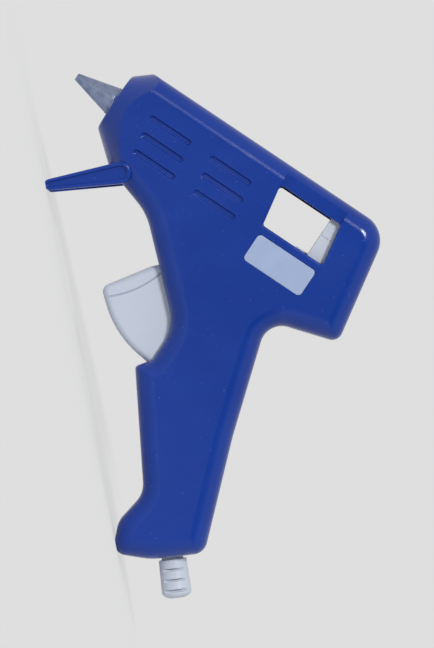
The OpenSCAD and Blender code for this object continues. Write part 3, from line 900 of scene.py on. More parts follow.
@dataclass(frozen=True)
class GrainyCoat:
    """Dull coat of one colour with a coarse skin, for the pieces inside."""

    name: str
    colour: Colour
    rough: float = 0.6
    metal: float = 0.0
    grain: float = 0.0006
    grain_depth: float = 0.00003
    cloud: float = 0.004
    cloud_tone: Point = (1.25, 0.01)  # gain, lift
    grain_rough: float = 0.12

    def material(self) -> bpy.types.Material:
        """Mix the finish.

        Returns:
            The material.
        """
        paint = Paint(self.name)
        grain = paint.noise(self.grain, detail=3.0)
        cloud = paint.patches(self.cloud, detail=2.0, spread=(0.35, 0.7))
        paler = toned(self.colour, *self.cloud_tone)
        return paint.shade(
            Base_Color=paint.blend(cloud, self.colour, paler),
            Metallic=self.metal,
            Roughness=self.rough + self.grain_rough * grain,
            Normal=paint.bump(grain, self.grain_depth),
        )


@dataclass(frozen=True)
class BrushedFoil:
    """Silvery foil of the bare plate, brushed along the barrel."""

    name: str
    colour: Colour
    along: Vector
    across: Vector
    draw: float = 0.04
    hair: float = 1 / 6000
    hair_depth: float = 0.000004
    handled: float = 0.004
    metal: float = 0.35
    rough: float = 0.34
    hair_tone: float = 1.2
    hair_rough: float = 0.12
    handled_rough: float = 0.08

    def material(self) -> bpy.types.Material:
        """Mix the finish.

        Returns:
            The material.
        """
        paint = Paint(self.name)
        run, up = (paint.along(paint.place(), way) for way in (self.along, self.across))
        drawn = paint.node("ShaderNodeCombineXYZ", inputs={"X": run * self.draw, "Y": up})
        hairs = {"Vector": drawn, "Scale": 1 / self.hair, "Detail": 2.0}
        brush = paint.node("ShaderNodeTexNoise", inputs=hairs)
        handled = paint.patches(self.handled, detail=3.0, spread=(0.45, 0.75))
        paler = toned(self.colour, self.hair_tone)
        return paint.shade(
            Base_Color=paint.blend(brush, self.colour, paler),
            Metallic=self.metal,
            Roughness=self.rough + self.hair_rough * brush + self.handled_rough * handled,
            Normal=paint.bump(brush, self.hair_depth),
        )


# Node trees


class NodeGroup:
    """Geometry node tree with named size inputs."""

    def __init__(self, name: str) -> None:
        """Start a tree with a geometry input and output.

        Args:
            name: The tree's name.
        """
        self.tree = bpy.data.node_groups.new(name, "GeometryNodeTree")
        self.tree.interface.new_socket("Geometry", in_out="INPUT", socket_type="NodeSocketGeometry")
        self.tree.interface.new_socket("Geometry", in_out="OUTPUT", socket_type="NodeSocketGeometry")
        self.inputs = self.tree.nodes.new("NodeGroupInput")

    def size(self, name: str) -> bpy.types.NodeSocket:
        """Add a named number to the tree's inputs and return its socket."""
        self.tree.interface.new_socket(name, in_out="INPUT", socket_type="NodeSocketFloat")
        return self.inputs.outputs[name]

    def geometry(self) -> bpy.types.NodeSocket:
        """Return the geometry that enters the tree."""
        return self.inputs.outputs["Geometry"]

    def add(self, kind: str, inputs: dict[Any, Any], **settings: Any) -> bpy.types.NodeSocket:
        """Add a node.

        Args:
            kind: The node's type.
            inputs: Values, sockets or lists of sockets by input name or place.
            settings: Its properties, set first.

        Returns:
            Its first output.
        """
        made = self.tree.nodes.new(kind)
        for name, value in settings.items():
            setattr(made, name, value)
        for name, value in inputs.items():
            for one in value if isinstance(value, list) else [value]:
                if isinstance(one, bpy.types.NodeSocket):
                    self.tree.links.new(one, made.inputs[name])
                else:
                    made.inputs[name].default_value = one
        return made.outputs[0]

    def times(self, value: bpy.types.NodeSocket, factor: float) -> bpy.types.NodeSocket:
        """Return a value multiplied by a factor."""
        return self.add("ShaderNodeMath", {0: value, 1: factor}, operation="MULTIPLY")

    def lifted(self, geometry: bpy.types.NodeSocket, height: bpy.types.NodeSocket) -> bpy.types.NodeSocket:
        """Return geometry moved up by a height."""
        up = self.add("ShaderNodeCombineXYZ", {"Z": height})
        return self.add("GeometryNodeTransform", {"Geometry": geometry, "Translation": up})

    def finish(self, geometry: bpy.types.NodeSocket, material: bpy.types.Material) -> bpy.types.NodeTree:
        """Realise the geometry, give it its finish and make it the tree's output.

        Args:
            geometry: What the tree has made.
            material: Its finish.

        Returns:
            The tree.
        """
        real = self.add("GeometryNodeRealizeInstances", {"Geometry": geometry})
        dressed = self.add("GeometryNodeSetMaterial", {"Geometry": real, "Material": material})
        output = self.tree.nodes.new("NodeGroupOutput")
        self.tree.links.new(dressed, output.inputs["Geometry"])
        return self.tree


def grow_from_points(
    name: str, points: Sequence[Vector], tree: bpy.types.NodeTree, sizes: dict[str, float]
) -> bpy.types.Object:
    """Run a node tree on points and keep its result as a plain mesh.

    Args:
        name: The piece's name.
        points: Where the tree works, in the row frame.
        tree: The node tree.
        sizes: Its named inputs.

    Returns:
        The piece.
    """
    data = bpy.data.meshes.new(name)
    data.from_pydata([tuple(p) for p in points], [], [])
    made = linked(name, data)
    modifier = made.modifiers.new("grow", "NODES")
    modifier.node_group = tree
    for item in tree.interface.items_tree:
        if item.in_out == "INPUT" and item.name in sizes:
            modifier[item.identifier] = sizes[item.name]
    settle(made)
    return made


# Sub-assemblies


@dataclass(frozen=True)
class GunForm:
    """Side view and widths that several sub-assemblies share."""

    half_w: float = 14.0
    wall: float = 2.0
    edge_reach: float = 7.0
    edge_drop: float = 6.0
    nose_x: float = 14.8
    nose_r: float = 9.9
    nose_deg: float = 40.0
    rear_x: float = 110.7
    trigger_at: Point = (75.2, -60.4)
    trigger_r: float = 31.5
    trigger_w: float = 13.2
    hub_r: float = 3.95
    relief_at: Point = (111.6, -111.4)
    relief_deg: float = -49.0
    label_at: Point = (88.1, -14.4)
    label_size: Point = (22.3, 10.1)
    label_depth: float = 0.3
    label_r: float = 1.5
    screw_places: tuple[Point, ...] = ((27.5, -11.8), (63, -20), (107, -15), (91, -89), (98.5, -112.6))
    head_seat: float = 8.0
    screw_tip: float = -9.0
    head_r: float = 2.1
    outline: tuple[Corner, ...] = (  # x, z and radius, clockwise from the top of the nose
        (6.8, 14.3, 1),
        (110.7, 14.3, 9),
        (117.6, -24.4, 3.5),
        (94.8, -31.3, 7),
        (106.3, -68.4, 60),
        (119.6, -104.6, 5),
        (106.4, -115.8, 20),
        (95, -121, 4),
        (90.9, -111.5, 7),
        (92.7, -99.5, 9),
        (67.6, -67, 1.5),
        (71, -62.5, 1.5),
        (71, -49.7, 14),
        (43.3, -24.2, 20),
        (6.8, -13, 1),
    )

    def label_corners(self, trim: float = 0.0) -> list[Corner]:
        """Work out the corners of the label's place.

        Args:
            trim: How far they are drawn in.

        Returns:
            The corners, clockwise.
        """
        across, up = (size / 2 - trim for size in self.label_size)
        (x, z), r = self.label_at, self.label_r
        front, rear, low, top = x - across, x + across, z - up, z + up
        return [(front, top, r), (rear, top, r), (rear, low, r), (front, low, r)]

    def relief_turn(self) -> Matrix:
        """Return the turn that lays the barrel axis along the cord's way out of the grip."""
        x, z = self.relief_at
        return Matrix.Translation((x, 0, z)) @ Matrix.Rotation(-math.radians(self.relief_deg), 4, "Y")


@dataclass(frozen=True)
class HalfShell:
    """One moulded half of the housing, with its stand leg and its cut-outs."""

    form: GunForm
    side: Side
    seam: float = 0.22
    edge_steps: Sequence[int] = (14, 6)  # outside, inside
    overlap: float = 0.3
    nose_edge: float = 0.7
    nose_bend: Point = (0.3, 0.12)  # shares of the edge, inwards and rearwards
    nose_sides: int = 144
    window: tuple[float, float, float, float] = (75.4, 98.4, -6.7, 7.3)  # front, rear, low, top
    window_deg: float = 10.0
    window_r: float = 1.0
    window_lip: float = 0.7
    band: tuple[float, float, float] = (1.2, 4.4, 1.0)  # depth, height, lap over the window
    vent_count: tuple[int, int] = (2, 3)  # groups, rows
    vent_start: Point = (27.1, 2.0)
    vent_size: tuple[float, float, float] = (16.0, 2.3, 1.0)  # length, width, depth
    vent_pitch: tuple[float, float, float] = (5.95, 0.9, 23.2)  # down and rearwards by row, by group
    vent_draw: float = 0.25
    vent_edges: Point = (0.35, 0.5)  # lip, root
    leg_ends: tuple[Point, Point] = ((29.3, -18.2), (12.7, -33.8))
    leg_radii: Point = (3.5, 1.8)  # at the shell, at the foot
    leg_size: Point = (3.0, 1.0)  # width, what stands out of the side
    leg_edges: Point = (0.5, 0.3)  # outer rounding, inner chamfer
    leg_steps: int = 4
    pan: tuple[float, float, float] = (1.3, 1.0, 0.9)  # rim at the shell, rim at the foot, depth
    pan_edges: Point = (0.25, 0.3)  # lip, root
    label_edges: Point = (0.12, 0.05)  # lip, root
    nozzle_hole_r: float = 5.2
    nozzle_lip: float = 0.6
    stick_hole_r: float = 4.4
    stick_hole_x: float = 104.3
    cord_hole_r: float = 3.55
    cord_hole: Point = (-11.0, 6.0)  # ends along the cord
    swing_gap: float = 0.35
    slot_deg: tuple[int, int, int] = (100, 172, 4)  # first, last, step
    slot_foot: Point = (4.0, -14.0)  # rear and front end, from the pivot
    head_gap: float = 0.2
    head_lip: float = 0.4

    def nose_limit(self, depth: float, edge: float) -> Solid:
        """Make the space behind the nose face and within its cone.

        Args:
            depth: How far it is drawn in.
            edge: Size of the rounded edge between face and cone.

        Returns:
            The closed solid.
        """
        form = self.form
        slope = math.radians(form.nose_deg)
        front = form.nose_x + depth
        r = form.nose_r + depth * (math.tan(slope) - 1 / math.cos(slope))
        wide = 2 * form.half_w
        foot = front + (wide - r) / math.tan(slope)
        far = 2 * form.rear_x
        inward, behind = (share * edge for share in self.nose_bend)
        face = [(0, front), (r - edge, front), (r - inward, front + behind)]
        face += [(r + edge * math.sin(slope), front + edge * math.cos(slope))]
        return Solid.turned(face + [(wide, foot), (far, foot), (far, far), (0, far)], self.nose_sides)

    def outer(self) -> Solid:
        """Make the outer form, with a fine chamfer along the parting line.

        Returns:
            The near half's form.
        """
        form = self.form
        steps = self.edge_steps[0]
        rings = edge_rings(form.outline, form.half_w, form.edge_reach, form.edge_drop, steps)
        rings.append((-self.seam, rounded(form.outline)))
        rings.append((0, rounded(inset(form.outline, self.seam))))
        return Solid.loft(rings).combine(self.nose_limit(0, self.nose_edge), Cut.COMMON)

    def hollow(self, grow: float = 0.0) -> Solid:
        """Make the hollow inside the wall.

        Args:
            grow: How far it reaches into the wall.

        Returns:
            The near half's hollow.
        """
        form = self.form
        depth = form.wall - grow
        inner = inset(form.outline, depth)
        half_w, reach, drop = (size - depth for size in (form.half_w, form.edge_reach, form.edge_drop))
        rings = edge_rings(inner, half_w, reach, drop, self.edge_steps[1])
        rings.append((PAST, rounded(inner)))
        return Solid.loft(rings).combine(self.nose_limit(depth, 0.0), Cut.COMMON)

    def leg(self) -> Solid:
        """Make the stand leg, with its edges rounded and the pan in its outer face.

        Returns:
            The near leg.
        """
        width, proud = self.leg_size
        face = -self.form.half_w - proud
        (ra, rb), (a, b) = self.leg_radii, self.leg_ends
        edge, back = self.leg_edges
        grown = growing_strip(a, b, ra, rb)
        rings = [(face + edge * (1 - s), grown(-edge * (1 - c))) for c, s in quarter(self.leg_steps)]
        rings += [(face + width - back, grown(0.0)), (face + width, grown(-back))]
        in_a, in_b, depth = self.pan
        pan = pocket(growing_strip(a, b, ra - in_a, rb - in_b), face, depth, *self.pan_edges)
        return Solid.loft(rings).cut(pan)

    def window_cuts(self) -> list[Solid]:
        """Make the cutters of the window and of the recessed band over it.

        Returns:
            The near half's cutters.
        """
        front, rear, low, top = self.window
        lean = math.tan(math.radians(self.window_deg))
        ends = ((front, top), (rear, top), (rear, low), (front, low))
        corners = [(x - lean * z, z, self.window_r) for x, z in ends]
        face = -self.form.half_w
        rings = [(PAST, rounded(corners))] + lip_rings(growing(corners), face, self.window_lip, 1)
        depth, height, lap = self.band
        sides = (corners[0][0], corners[1][0])
        band = Solid.block(sides, (face - CLEAR, face + depth), (top - lap, top + height))
        return [Solid.loft(rings), band]

    def vent_cuts(self) -> list[Solid]:
        """Make the cutters of the groups of vent grooves.

        Returns:
            The near half's cutters.
        """
        length, width, depth = self.vent_size
        pitch, step, group_pitch = self.vent_pitch
        r = width / 2 - self.vent_draw
        cuts: list[Solid] = []
        for group, row in product(*map(range, self.vent_count)):
            x = self.vent_start[0] + group * group_pitch + row * step + width / 2
            z = self.vent_start[1] - row * pitch
            grown = growing_strip((x, z), (x + length - width, z), r, r)
            cuts.append(pocket(grown, -self.form.half_w, depth, *self.vent_edges))
        return cuts

    def trigger_slot(self) -> Solid:
        """Make the cutter of the slot that the trigger swings in.

        Returns:
            The near half's cutter.
        """
        form = self.form
        at, gap = form.trigger_at, self.swing_gap
        low = at[1] - form.hub_r - gap
        first, last, step = self.slot_deg
        arc = [polar(at, form.trigger_r + gap, deg) for deg in range(last, first - 1, -step)]
        outline = [(at[0] + self.slot_foot[0], low), (at[0] + self.slot_foot[1], low)] + arc
        return Solid.slab(outline, -form.trigger_w / 2 - gap, PAST)

    def bores(self) -> list[Solid]:
        """Make the cutters of the nozzle's, the stick's and the cord's ways through the wall.

        Returns:
            The cutters, the same for both halves.
        """
        form = self.form
        r, x = self.nozzle_hole_r, form.nose_x
        lip, ends = self.nozzle_lip, (x - CLEAR, x + form.wall + PAST)
        nose = [(0, ends[0]), (r + lip, ends[0]), (r + lip, x), (r + lip / 3, x + lip / 4), (r, x + lip)]
        stick = Solid.along(self.stick_hole_r, self.stick_hole_x, 2 * form.rear_x)
        cord = Solid.along(self.cord_hole_r, *self.cord_hole)
        cord.mesh.transform(form.relief_turn())
        return [Solid.turned(nose + [(r, ends[1]), (0, ends[1])]), stick, cord]

    def side_cuts(self) -> list[Solid]:
        """Make the cutters that only this half has.

        Returns:
            The label's recess on the near half, or the screw wells on the far one.
        """
        form = self.form
        if self.side is Side.NEAR:
            grown = growing(form.label_corners())
            return [pocket(grown, -form.half_w, form.label_depth, *self.label_edges)]
        r, depths = form.head_r + self.head_gap, (form.head_seat, form.half_w)
        return [Solid.across(at, r, *depths, self.head_lip) for at in form.screw_places]

    def build(self, node: bpy.types.Object, stance: Stance, name: str) -> bpy.types.Object:
        """Build the half.

        Args:
            node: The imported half, whose ribs and bosses are taken over.
            stance: Where the gun stands.
            name: The piece's name.

        Returns:
            The finished piece.
        """
        inside = Solid.of_node(node, stance).combine(self.hollow(self.overlap).on(self.side), Cut.COMMON)
        shell = self.outer().cut(self.hollow()).on(self.side).join(inside, self.leg().on(self.side))
        shared = [*self.window_cuts(), *self.vent_cuts(), self.trigger_slot(), *self.bores()]
        shell = shell.cut(*(tool.on(self.side) for tool in shared), *self.side_cuts(), bench(stance))
        return shell.piece(name, stance)


def bench(stance: Stance) -> Solid:
    """Make a block of everything below the bench.

    Args:
        stance: Where the gun stands.

    Returns:
        The block, in the gun's frame.
    """
    below = Solid.block(*BELOW_BENCH)
    below.mesh.transform(stance.matrix.inverted())
    return below


@dataclass(frozen=True)
class Trigger:
    """Fan-shaped finger lever with a thick rim, on its hub."""

    form: GunForm
    front_deg: float = 164.7
    knee_deg: float = 130.3
    back_deg: float = 119.6
    nose_over: float = 0.45
    edge_reach: float = 2.6
    edge_drop: float = 2.2
    edge_steps: int = 8
    tip_r: float = 2.6
    knee_r: float = 12.0
    hub_corners: tuple[Corner, ...] = ((4.0, -0.5, 3.0), (-1.4, -3.8, 1.0), (-18.8, -1.8, 33.0))
    hub_draw: float = 0.02
    rim_from: Point = (-47.9, 31.1)  # centre, from the pivot
    rim_over: float = 0.2
    groove_depth: float = 0.55
    groove_outer: Point = (0.8, 0.02)  # outside the face, at the floor
    groove_inner: Point = (-0.9, 0.08)  # outside the face, at the floor
    groove_lap: float = 0.2
    groove_sides: int = 180
    bore_r: float = 1.55
    arm_front: float = 3.9
    arm_w: float = 4.38
    tail_over: float = 2.7

    def corners(self) -> list[Corner]:
        """Work out the corners of the side view.

        Returns:
            The corners, clockwise.
        """
        form = self.form
        x, z = form.trigger_at
        nose = polar(form.trigger_at, form.trigger_r + self.nose_over, self.front_deg)
        turns = (self.knee_deg, self.back_deg)
        knee, back = (np.array(polar(form.trigger_at, form.trigger_r, deg)) for deg in turns)
        tail = back + self.tail_over * unit(back - knee)
        around_hub = [(x + dx, z + dz, r) for dx, dz, r in self.hub_corners]
        return [(*nose, self.tip_r), (*knee, self.knee_r), (*tail, self.tip_r), *around_hub]

    def rim_cone(self, over: Point, lap: float) -> Solid:
        """Make a cone about the rim's centre, through the near face.

        Args:
            over: What its radius has over the rim's, outside the face and at the groove's floor.
            lap: How far it goes past both.

        Returns:
            The cone.
        """
        x, z = self.form.trigger_at
        at, r = (x + self.rim_from[0], z + self.rim_from[1]), self.form.trigger_r + self.rim_over
        face = -self.form.trigger_w / 2
        ends = (face - PAST - lap, face + self.groove_depth + lap)
        return Solid.loft([(y, circle(at, r + d, self.groove_sides)) for y, d in zip(ends, over)])

    def groove(self) -> Solid:
        """Return the cutter of the line under the rim, for the near side: what lies between two cones."""
        return self.rim_cone(self.groove_outer, 0.0).cut(self.rim_cone(self.groove_inner, self.groove_lap))

    def build(self, node: bpy.types.Object, stance: Stance) -> bpy.types.Object:
        """Build the trigger round its packed hub and arm.

        Args:
            node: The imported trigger.
            stance: Where the gun stands.

        Returns:
            The finished piece.
        """
        form = self.form
        w = form.trigger_w / 2
        near = edge_rings(self.corners(), w, self.edge_reach, self.edge_drop, self.edge_steps)
        paddle = Solid.loft(near + [(-y, ring) for y, ring in reversed(near)])
        x, z = form.trigger_at
        core = Solid.slab(circle(form.trigger_at, form.hub_r - self.hub_draw), -w, w)
        bore = Solid.slab(circle(form.trigger_at, self.bore_r), -w - PAST, w + PAST)
        half, reach = self.arm_w / 2, 2 * form.trigger_r
        behind = Solid.block((x - self.arm_front, x + reach), (-half, half), (z - reach, z + reach))
        arm = Solid.of_node(node, stance).combine(behind, Cut.COMMON)
        whole = paddle.join(core).cut(bore).join(arm).cut(self.groove(), self.groove().mirrored())
        return whole.piece("trigger_paddle", stance)


@dataclass(frozen=True)
class Nozzle:
    """Bare metal cone, turned, with its shank and the bore of the drip valve."""

    length: float = 14.4
    tip_r: float = 1.2
    foot_r: float = 4.8
    outlet_r: float = 0.8
    outlet_x: float = 12.6
    outlet_edge: Point = (0.1, 0.12)  # across, along
    tip_edge: tuple[float, float, float] = (0.15, 0.03, 0.18)  # inwards, outwards, along
    cone_at: tuple[float, ...] = (0.6, 2.0, 5.0, 9.0, 12.6)
    groove_at: tuple[float, float, float] = (13.3, 13.55, 13.8)  # floor's two ends, lip
    groove_depth: float = 0.28
    groove_lip: float = 0.02
    shoulder_x: float = 16.8
    shank_r: float = 4.0
    end_x: float = 23.85
    valve_r: float = 1.85
    valve_x: float = 21.0
    way_r: float = 1.35
    way_x: float = 14.0
    sides: int = 128

    def profile(self) -> list[Point]:
        """Go round the nozzle's section, from the outlet over the cone to the shank and back inside.

        Returns:
            Points as radius and distance along X.
        """
        slope = (self.foot_r - self.tip_r) / self.length
        (out, deep), (flat, over, back) = self.outlet_edge, self.tip_edge
        tip = [(self.outlet_r, deep), (self.outlet_r + out, 0.0)]
        tip += [(self.tip_r - flat, 0.0), (self.tip_r + over, back)]
        cone = [(self.tip_r + slope * x, x) for x in self.cone_at]
        start, stop, end = self.groove_at
        floor, lip = self.foot_r - self.groove_depth, self.foot_r - self.groove_lip
        groove = [(floor, start), (floor, stop), (lip, end)]
        foot = [(self.foot_r, self.length), (self.foot_r, self.shoulder_x)]
        shank = [(self.shank_r, self.shoulder_x), (self.shank_r, self.end_x)]
        valve = [(self.valve_r, self.end_x), (self.valve_r, self.valve_x)]
        way = [(self.way_r, self.valve_x), (self.way_r, self.way_x), (self.outlet_r, self.outlet_x)]
        return tip + cone + groove + foot + shank + valve + way

    def build(self, stance: Stance) -> bpy.types.Object:
        """Build the nozzle and return the piece."""
        return Solid.turned(self.profile(), self.sides).piece("nozzle_cone", stance)


@dataclass(frozen=True)
class CordEntry:
    """Slotted sleeve with a domed end, where the lead leaves the grip."""

    form: GunForm
    length: float = 13.8
    r: float = 4.5
    end_r: float = 4.8
    dome: float = 2.4
    dome_deg: int = 60
    dome_step: int = 3
    bore_r: float = 2.3
    slots: int = 3
    slot_pitch: float = 3.4
    slot_size: Point = (0.9, 1.4)  # width, depth
    slot_shift: float = 2.6
    flange: Point = (-6.8, -5.0)  # its two faces
    flange_r: float = 5.4
    neck_r: float = 3.5
    foot: float = 1.0
    edge: float = 0.15

    def sleeve(self) -> Solid:
        """Turn the sleeve, its dome part of an ellipse.

        Returns:
            The sleeve along the barrel axis, without its slots.
        """
        back, front = self.flange
        straight = self.length - self.dome
        points = [(self.bore_r, back), (self.flange_r, back), (self.flange_r, front)]
        points += [(self.neck_r, front), (self.neck_r, self.foot), (self.r, self.foot)]
        for a in map(math.radians, range(0, self.dome_deg + 1, self.dome_step)):
            points.append((self.end_r * math.cos(a), straight + self.dome * math.sin(a)))
        return Solid.turned(points + [(self.bore_r, points[-1][1])])

    def slot_cuts(self) -> list[Solid]:
        """Make the cutters of the slots.

        Returns:
            The cutters of both sides.
        """
        width, depth = self.slot_size
        first = self.length - self.dome - self.slots * self.slot_pitch + self.slot_shift
        floor, out = self.r - depth, 2 * self.r
        starts = [first + i * self.slot_pitch for i in range(self.slots)]
        near = [Solid.block((x, x + width), (-out, -floor), (-out, out)) for x in starts]
        return near + [cut.mirrored() for cut in near]

    def build(self, stance: Stance) -> bpy.types.Object:
        """Build the sleeve.

        Args:
            stance: Where the gun stands.

        Returns:
            The finished piece.
        """
        sleeve = self.sleeve().cut(*self.slot_cuts()).eased(self.edge)
        sleeve.mesh.transform(self.form.relief_turn())
        return sleeve.piece("strain_sleeve", stance)


@dataclass(frozen=True)
class BarePlate:
    """Thin silvery plate in the side's recess, with nothing on it."""

    form: GunForm
    gap: float = 0.2
    thickness: float = 0.22
    edge: Point = (0.1, 0.06)  # across, down

    def build(self, stance: Stance) -> bpy.types.Object:
        """Build the plate.

        Args:
            stance: Where the gun stands.

        Returns:
            The finished piece.
        """
        floor = -self.form.half_w + self.form.label_depth
        grown = [self.form.label_corners(self.gap + draw) for draw in (self.edge[0], 0.0, 0.0)]
        heights = (self.thickness, self.thickness - self.edge[1], 0.0)
        rings = [(floor - h, rounded(corners)) for h, corners in zip(heights, grown)]
        return Solid.loft(rings).piece("bare_plate", stance)


@dataclass(frozen=True)
class ScrewSet:
    """Cross-headed screws of one length, set by a node tree on one point each."""

    places: Sequence[Point]
    seat_y: float
    tip_y: float
    head_r: float
    shank_r: float = 1.2
    head_h: float = 1.6
    recess_w: float = 0.5
    recess_span: float = 1.15
    recess_lift: float = 0.45
    recess_turn: float = 0.4
    head_sides: int = 40
    shank_sides: int = 24

    def tree(self, material: bpy.types.Material) -> bpy.types.NodeTree:
        """Write the node tree that sets a screw on every point.

        Args:
            material: The screws' finish.

        Returns:
            The tree.
        """
        tree = NodeGroup("screw_set")
        head_r, head_h = tree.size("Head radius"), tree.size("Head height")
        shank_r, shank_l = tree.size("Shank radius"), tree.size("Shank length")
        recess = tree.size("Recess width")
        disc = {"Vertices": self.head_sides, "Radius": head_r, "Depth": head_h}
        head = tree.add("GeometryNodeMeshCylinder", disc)
        span = tree.times(head_r, self.recess_span)
        bars = []
        for order in ((span, recess, head_h), (recess, span, head_h)):
            size = tree.add("ShaderNodeCombineXYZ", dict(zip("XYZ", order)))
            cube = tree.add("GeometryNodeMeshCube", {"Size": size})
            bars.append(tree.lifted(cube, tree.times(head_h, self.recess_lift)))
        meshes = {"Mesh 1": head, "Mesh 2": bars}
        crossed = tree.add("GeometryNodeMeshBoolean", meshes, operation=Cut.AWAY.value)
        top = tree.lifted(crossed, tree.times(head_h, 0.5))
        rod = {"Vertices": self.shank_sides, "Radius": shank_r, "Depth": shank_l}
        stem = tree.lifted(tree.add("GeometryNodeMeshCylinder", rod), tree.times(shank_l, -0.5))
        screw = tree.add("GeometryNodeJoinGeometry", {"Geometry": [top, stem]})
        turn = (-math.pi / 2, self.recess_turn, 0)
        places = {"Points": tree.geometry(), "Instance": screw, "Rotation": turn}
        return tree.finish(tree.add("GeometryNodeInstanceOnPoints", places), material)

    def build(self, name: str, stance: Stance, material: bpy.types.Material) -> bpy.types.Object:
        """Build the screws.

        Args:
            name: The piece's name.
            stance: Where the gun stands.
            material: Their finish.

        Returns:
            The piece.
        """
        points = [stance.point(x, self.seat_y, z) for x, z in self.places]
        sizes = {
            "Head radius": self.head_r * MM,
            "Head height": self.head_h * MM,
            "Shank radius": self.shank_r * MM,
            "Shank length": (self.seat_y - self.tip_y) * MM,
            "Recess width": self.recess_w * MM,
        }
        return grow_from_points(name, points, self.tree(material), sizes)


@dataclass(frozen=True)
class CoilSpring:
    """Coil spring along the barrel's direction, wound by a node tree."""

    start: Point
    end_x: float
    wire_r: float
    mean_r: float
    turns: float
    turn_steps: int = 32
    wire_sides: int = 12

    def foot(self, stance: Stance) -> Vector:
        """Return the middle of the front end, in the row frame."""
        return stance.point(self.start[0], 0, self.start[1])

    def tail(self, stance: Stance) -> Vector:
        """Return the middle of the rear end, in the row frame."""
        return stance.point(self.end_x, 0, self.start[1])

    def tree(self, stance: Stance, material: bpy.types.Material) -> bpy.types.NodeTree:
        """Write the node tree that winds the spring.

        Args:
            stance: Where the gun stands.
            material: The spring's finish.

        Returns:
            The tree.
        """
        tree = NodeGroup("coil_spring")
        mean_r, wire_r = tree.size("Mean radius"), tree.size("Wire radius")
        turns, length = tree.size("Turns"), tree.size("Length")
        radii = {"Start Radius": mean_r, "End Radius": mean_r}
        path = {"Resolution": self.turn_steps, "Rotations": turns, "Height": length, **radii}
        spiral = tree.add("GeometryNodeCurveSpiral", path)
        wire = {"Resolution": self.wire_sides, "Radius": wire_r}
        section = tree.add("GeometryNodeCurvePrimitiveCircle", wire, mode="RADIUS")
        drawn = {"Curve": spiral, "Profile Curve": section, "Fill Caps": True}
        coil = tree.add("GeometryNodeCurveToMesh", drawn)
        turn = stance.direction(1, 0).to_track_quat("Z", "Y").to_euler()
        at = self.foot(stance)
        moved = {"Geometry": coil, "Translation": at[:], "Rotation": turn[:]}
        placed = tree.add("GeometryNodeTransform", moved)
        smooth = tree.add("GeometryNodeSetShadeSmooth", {"Geometry": placed})
        return tree.finish(smooth, material)

    def build(self, name: str, stance: Stance, material: bpy.types.Material) -> bpy.types.Object:
        """Build the spring.

        Args:
            name: The piece's name.
            stance: Where the gun stands.
            material: Its finish.

        Returns:
            The piece.
        """
        sizes = {
            "Mean radius": self.mean_r * MM,
            "Wire radius": self.wire_r * MM,
            "Turns": self.turns,
            "Length": (self.end_x - self.start[0]) * MM,
        }
        return grow_from_points(name, [self.foot(stance)], self.tree(stance, material), sizes)


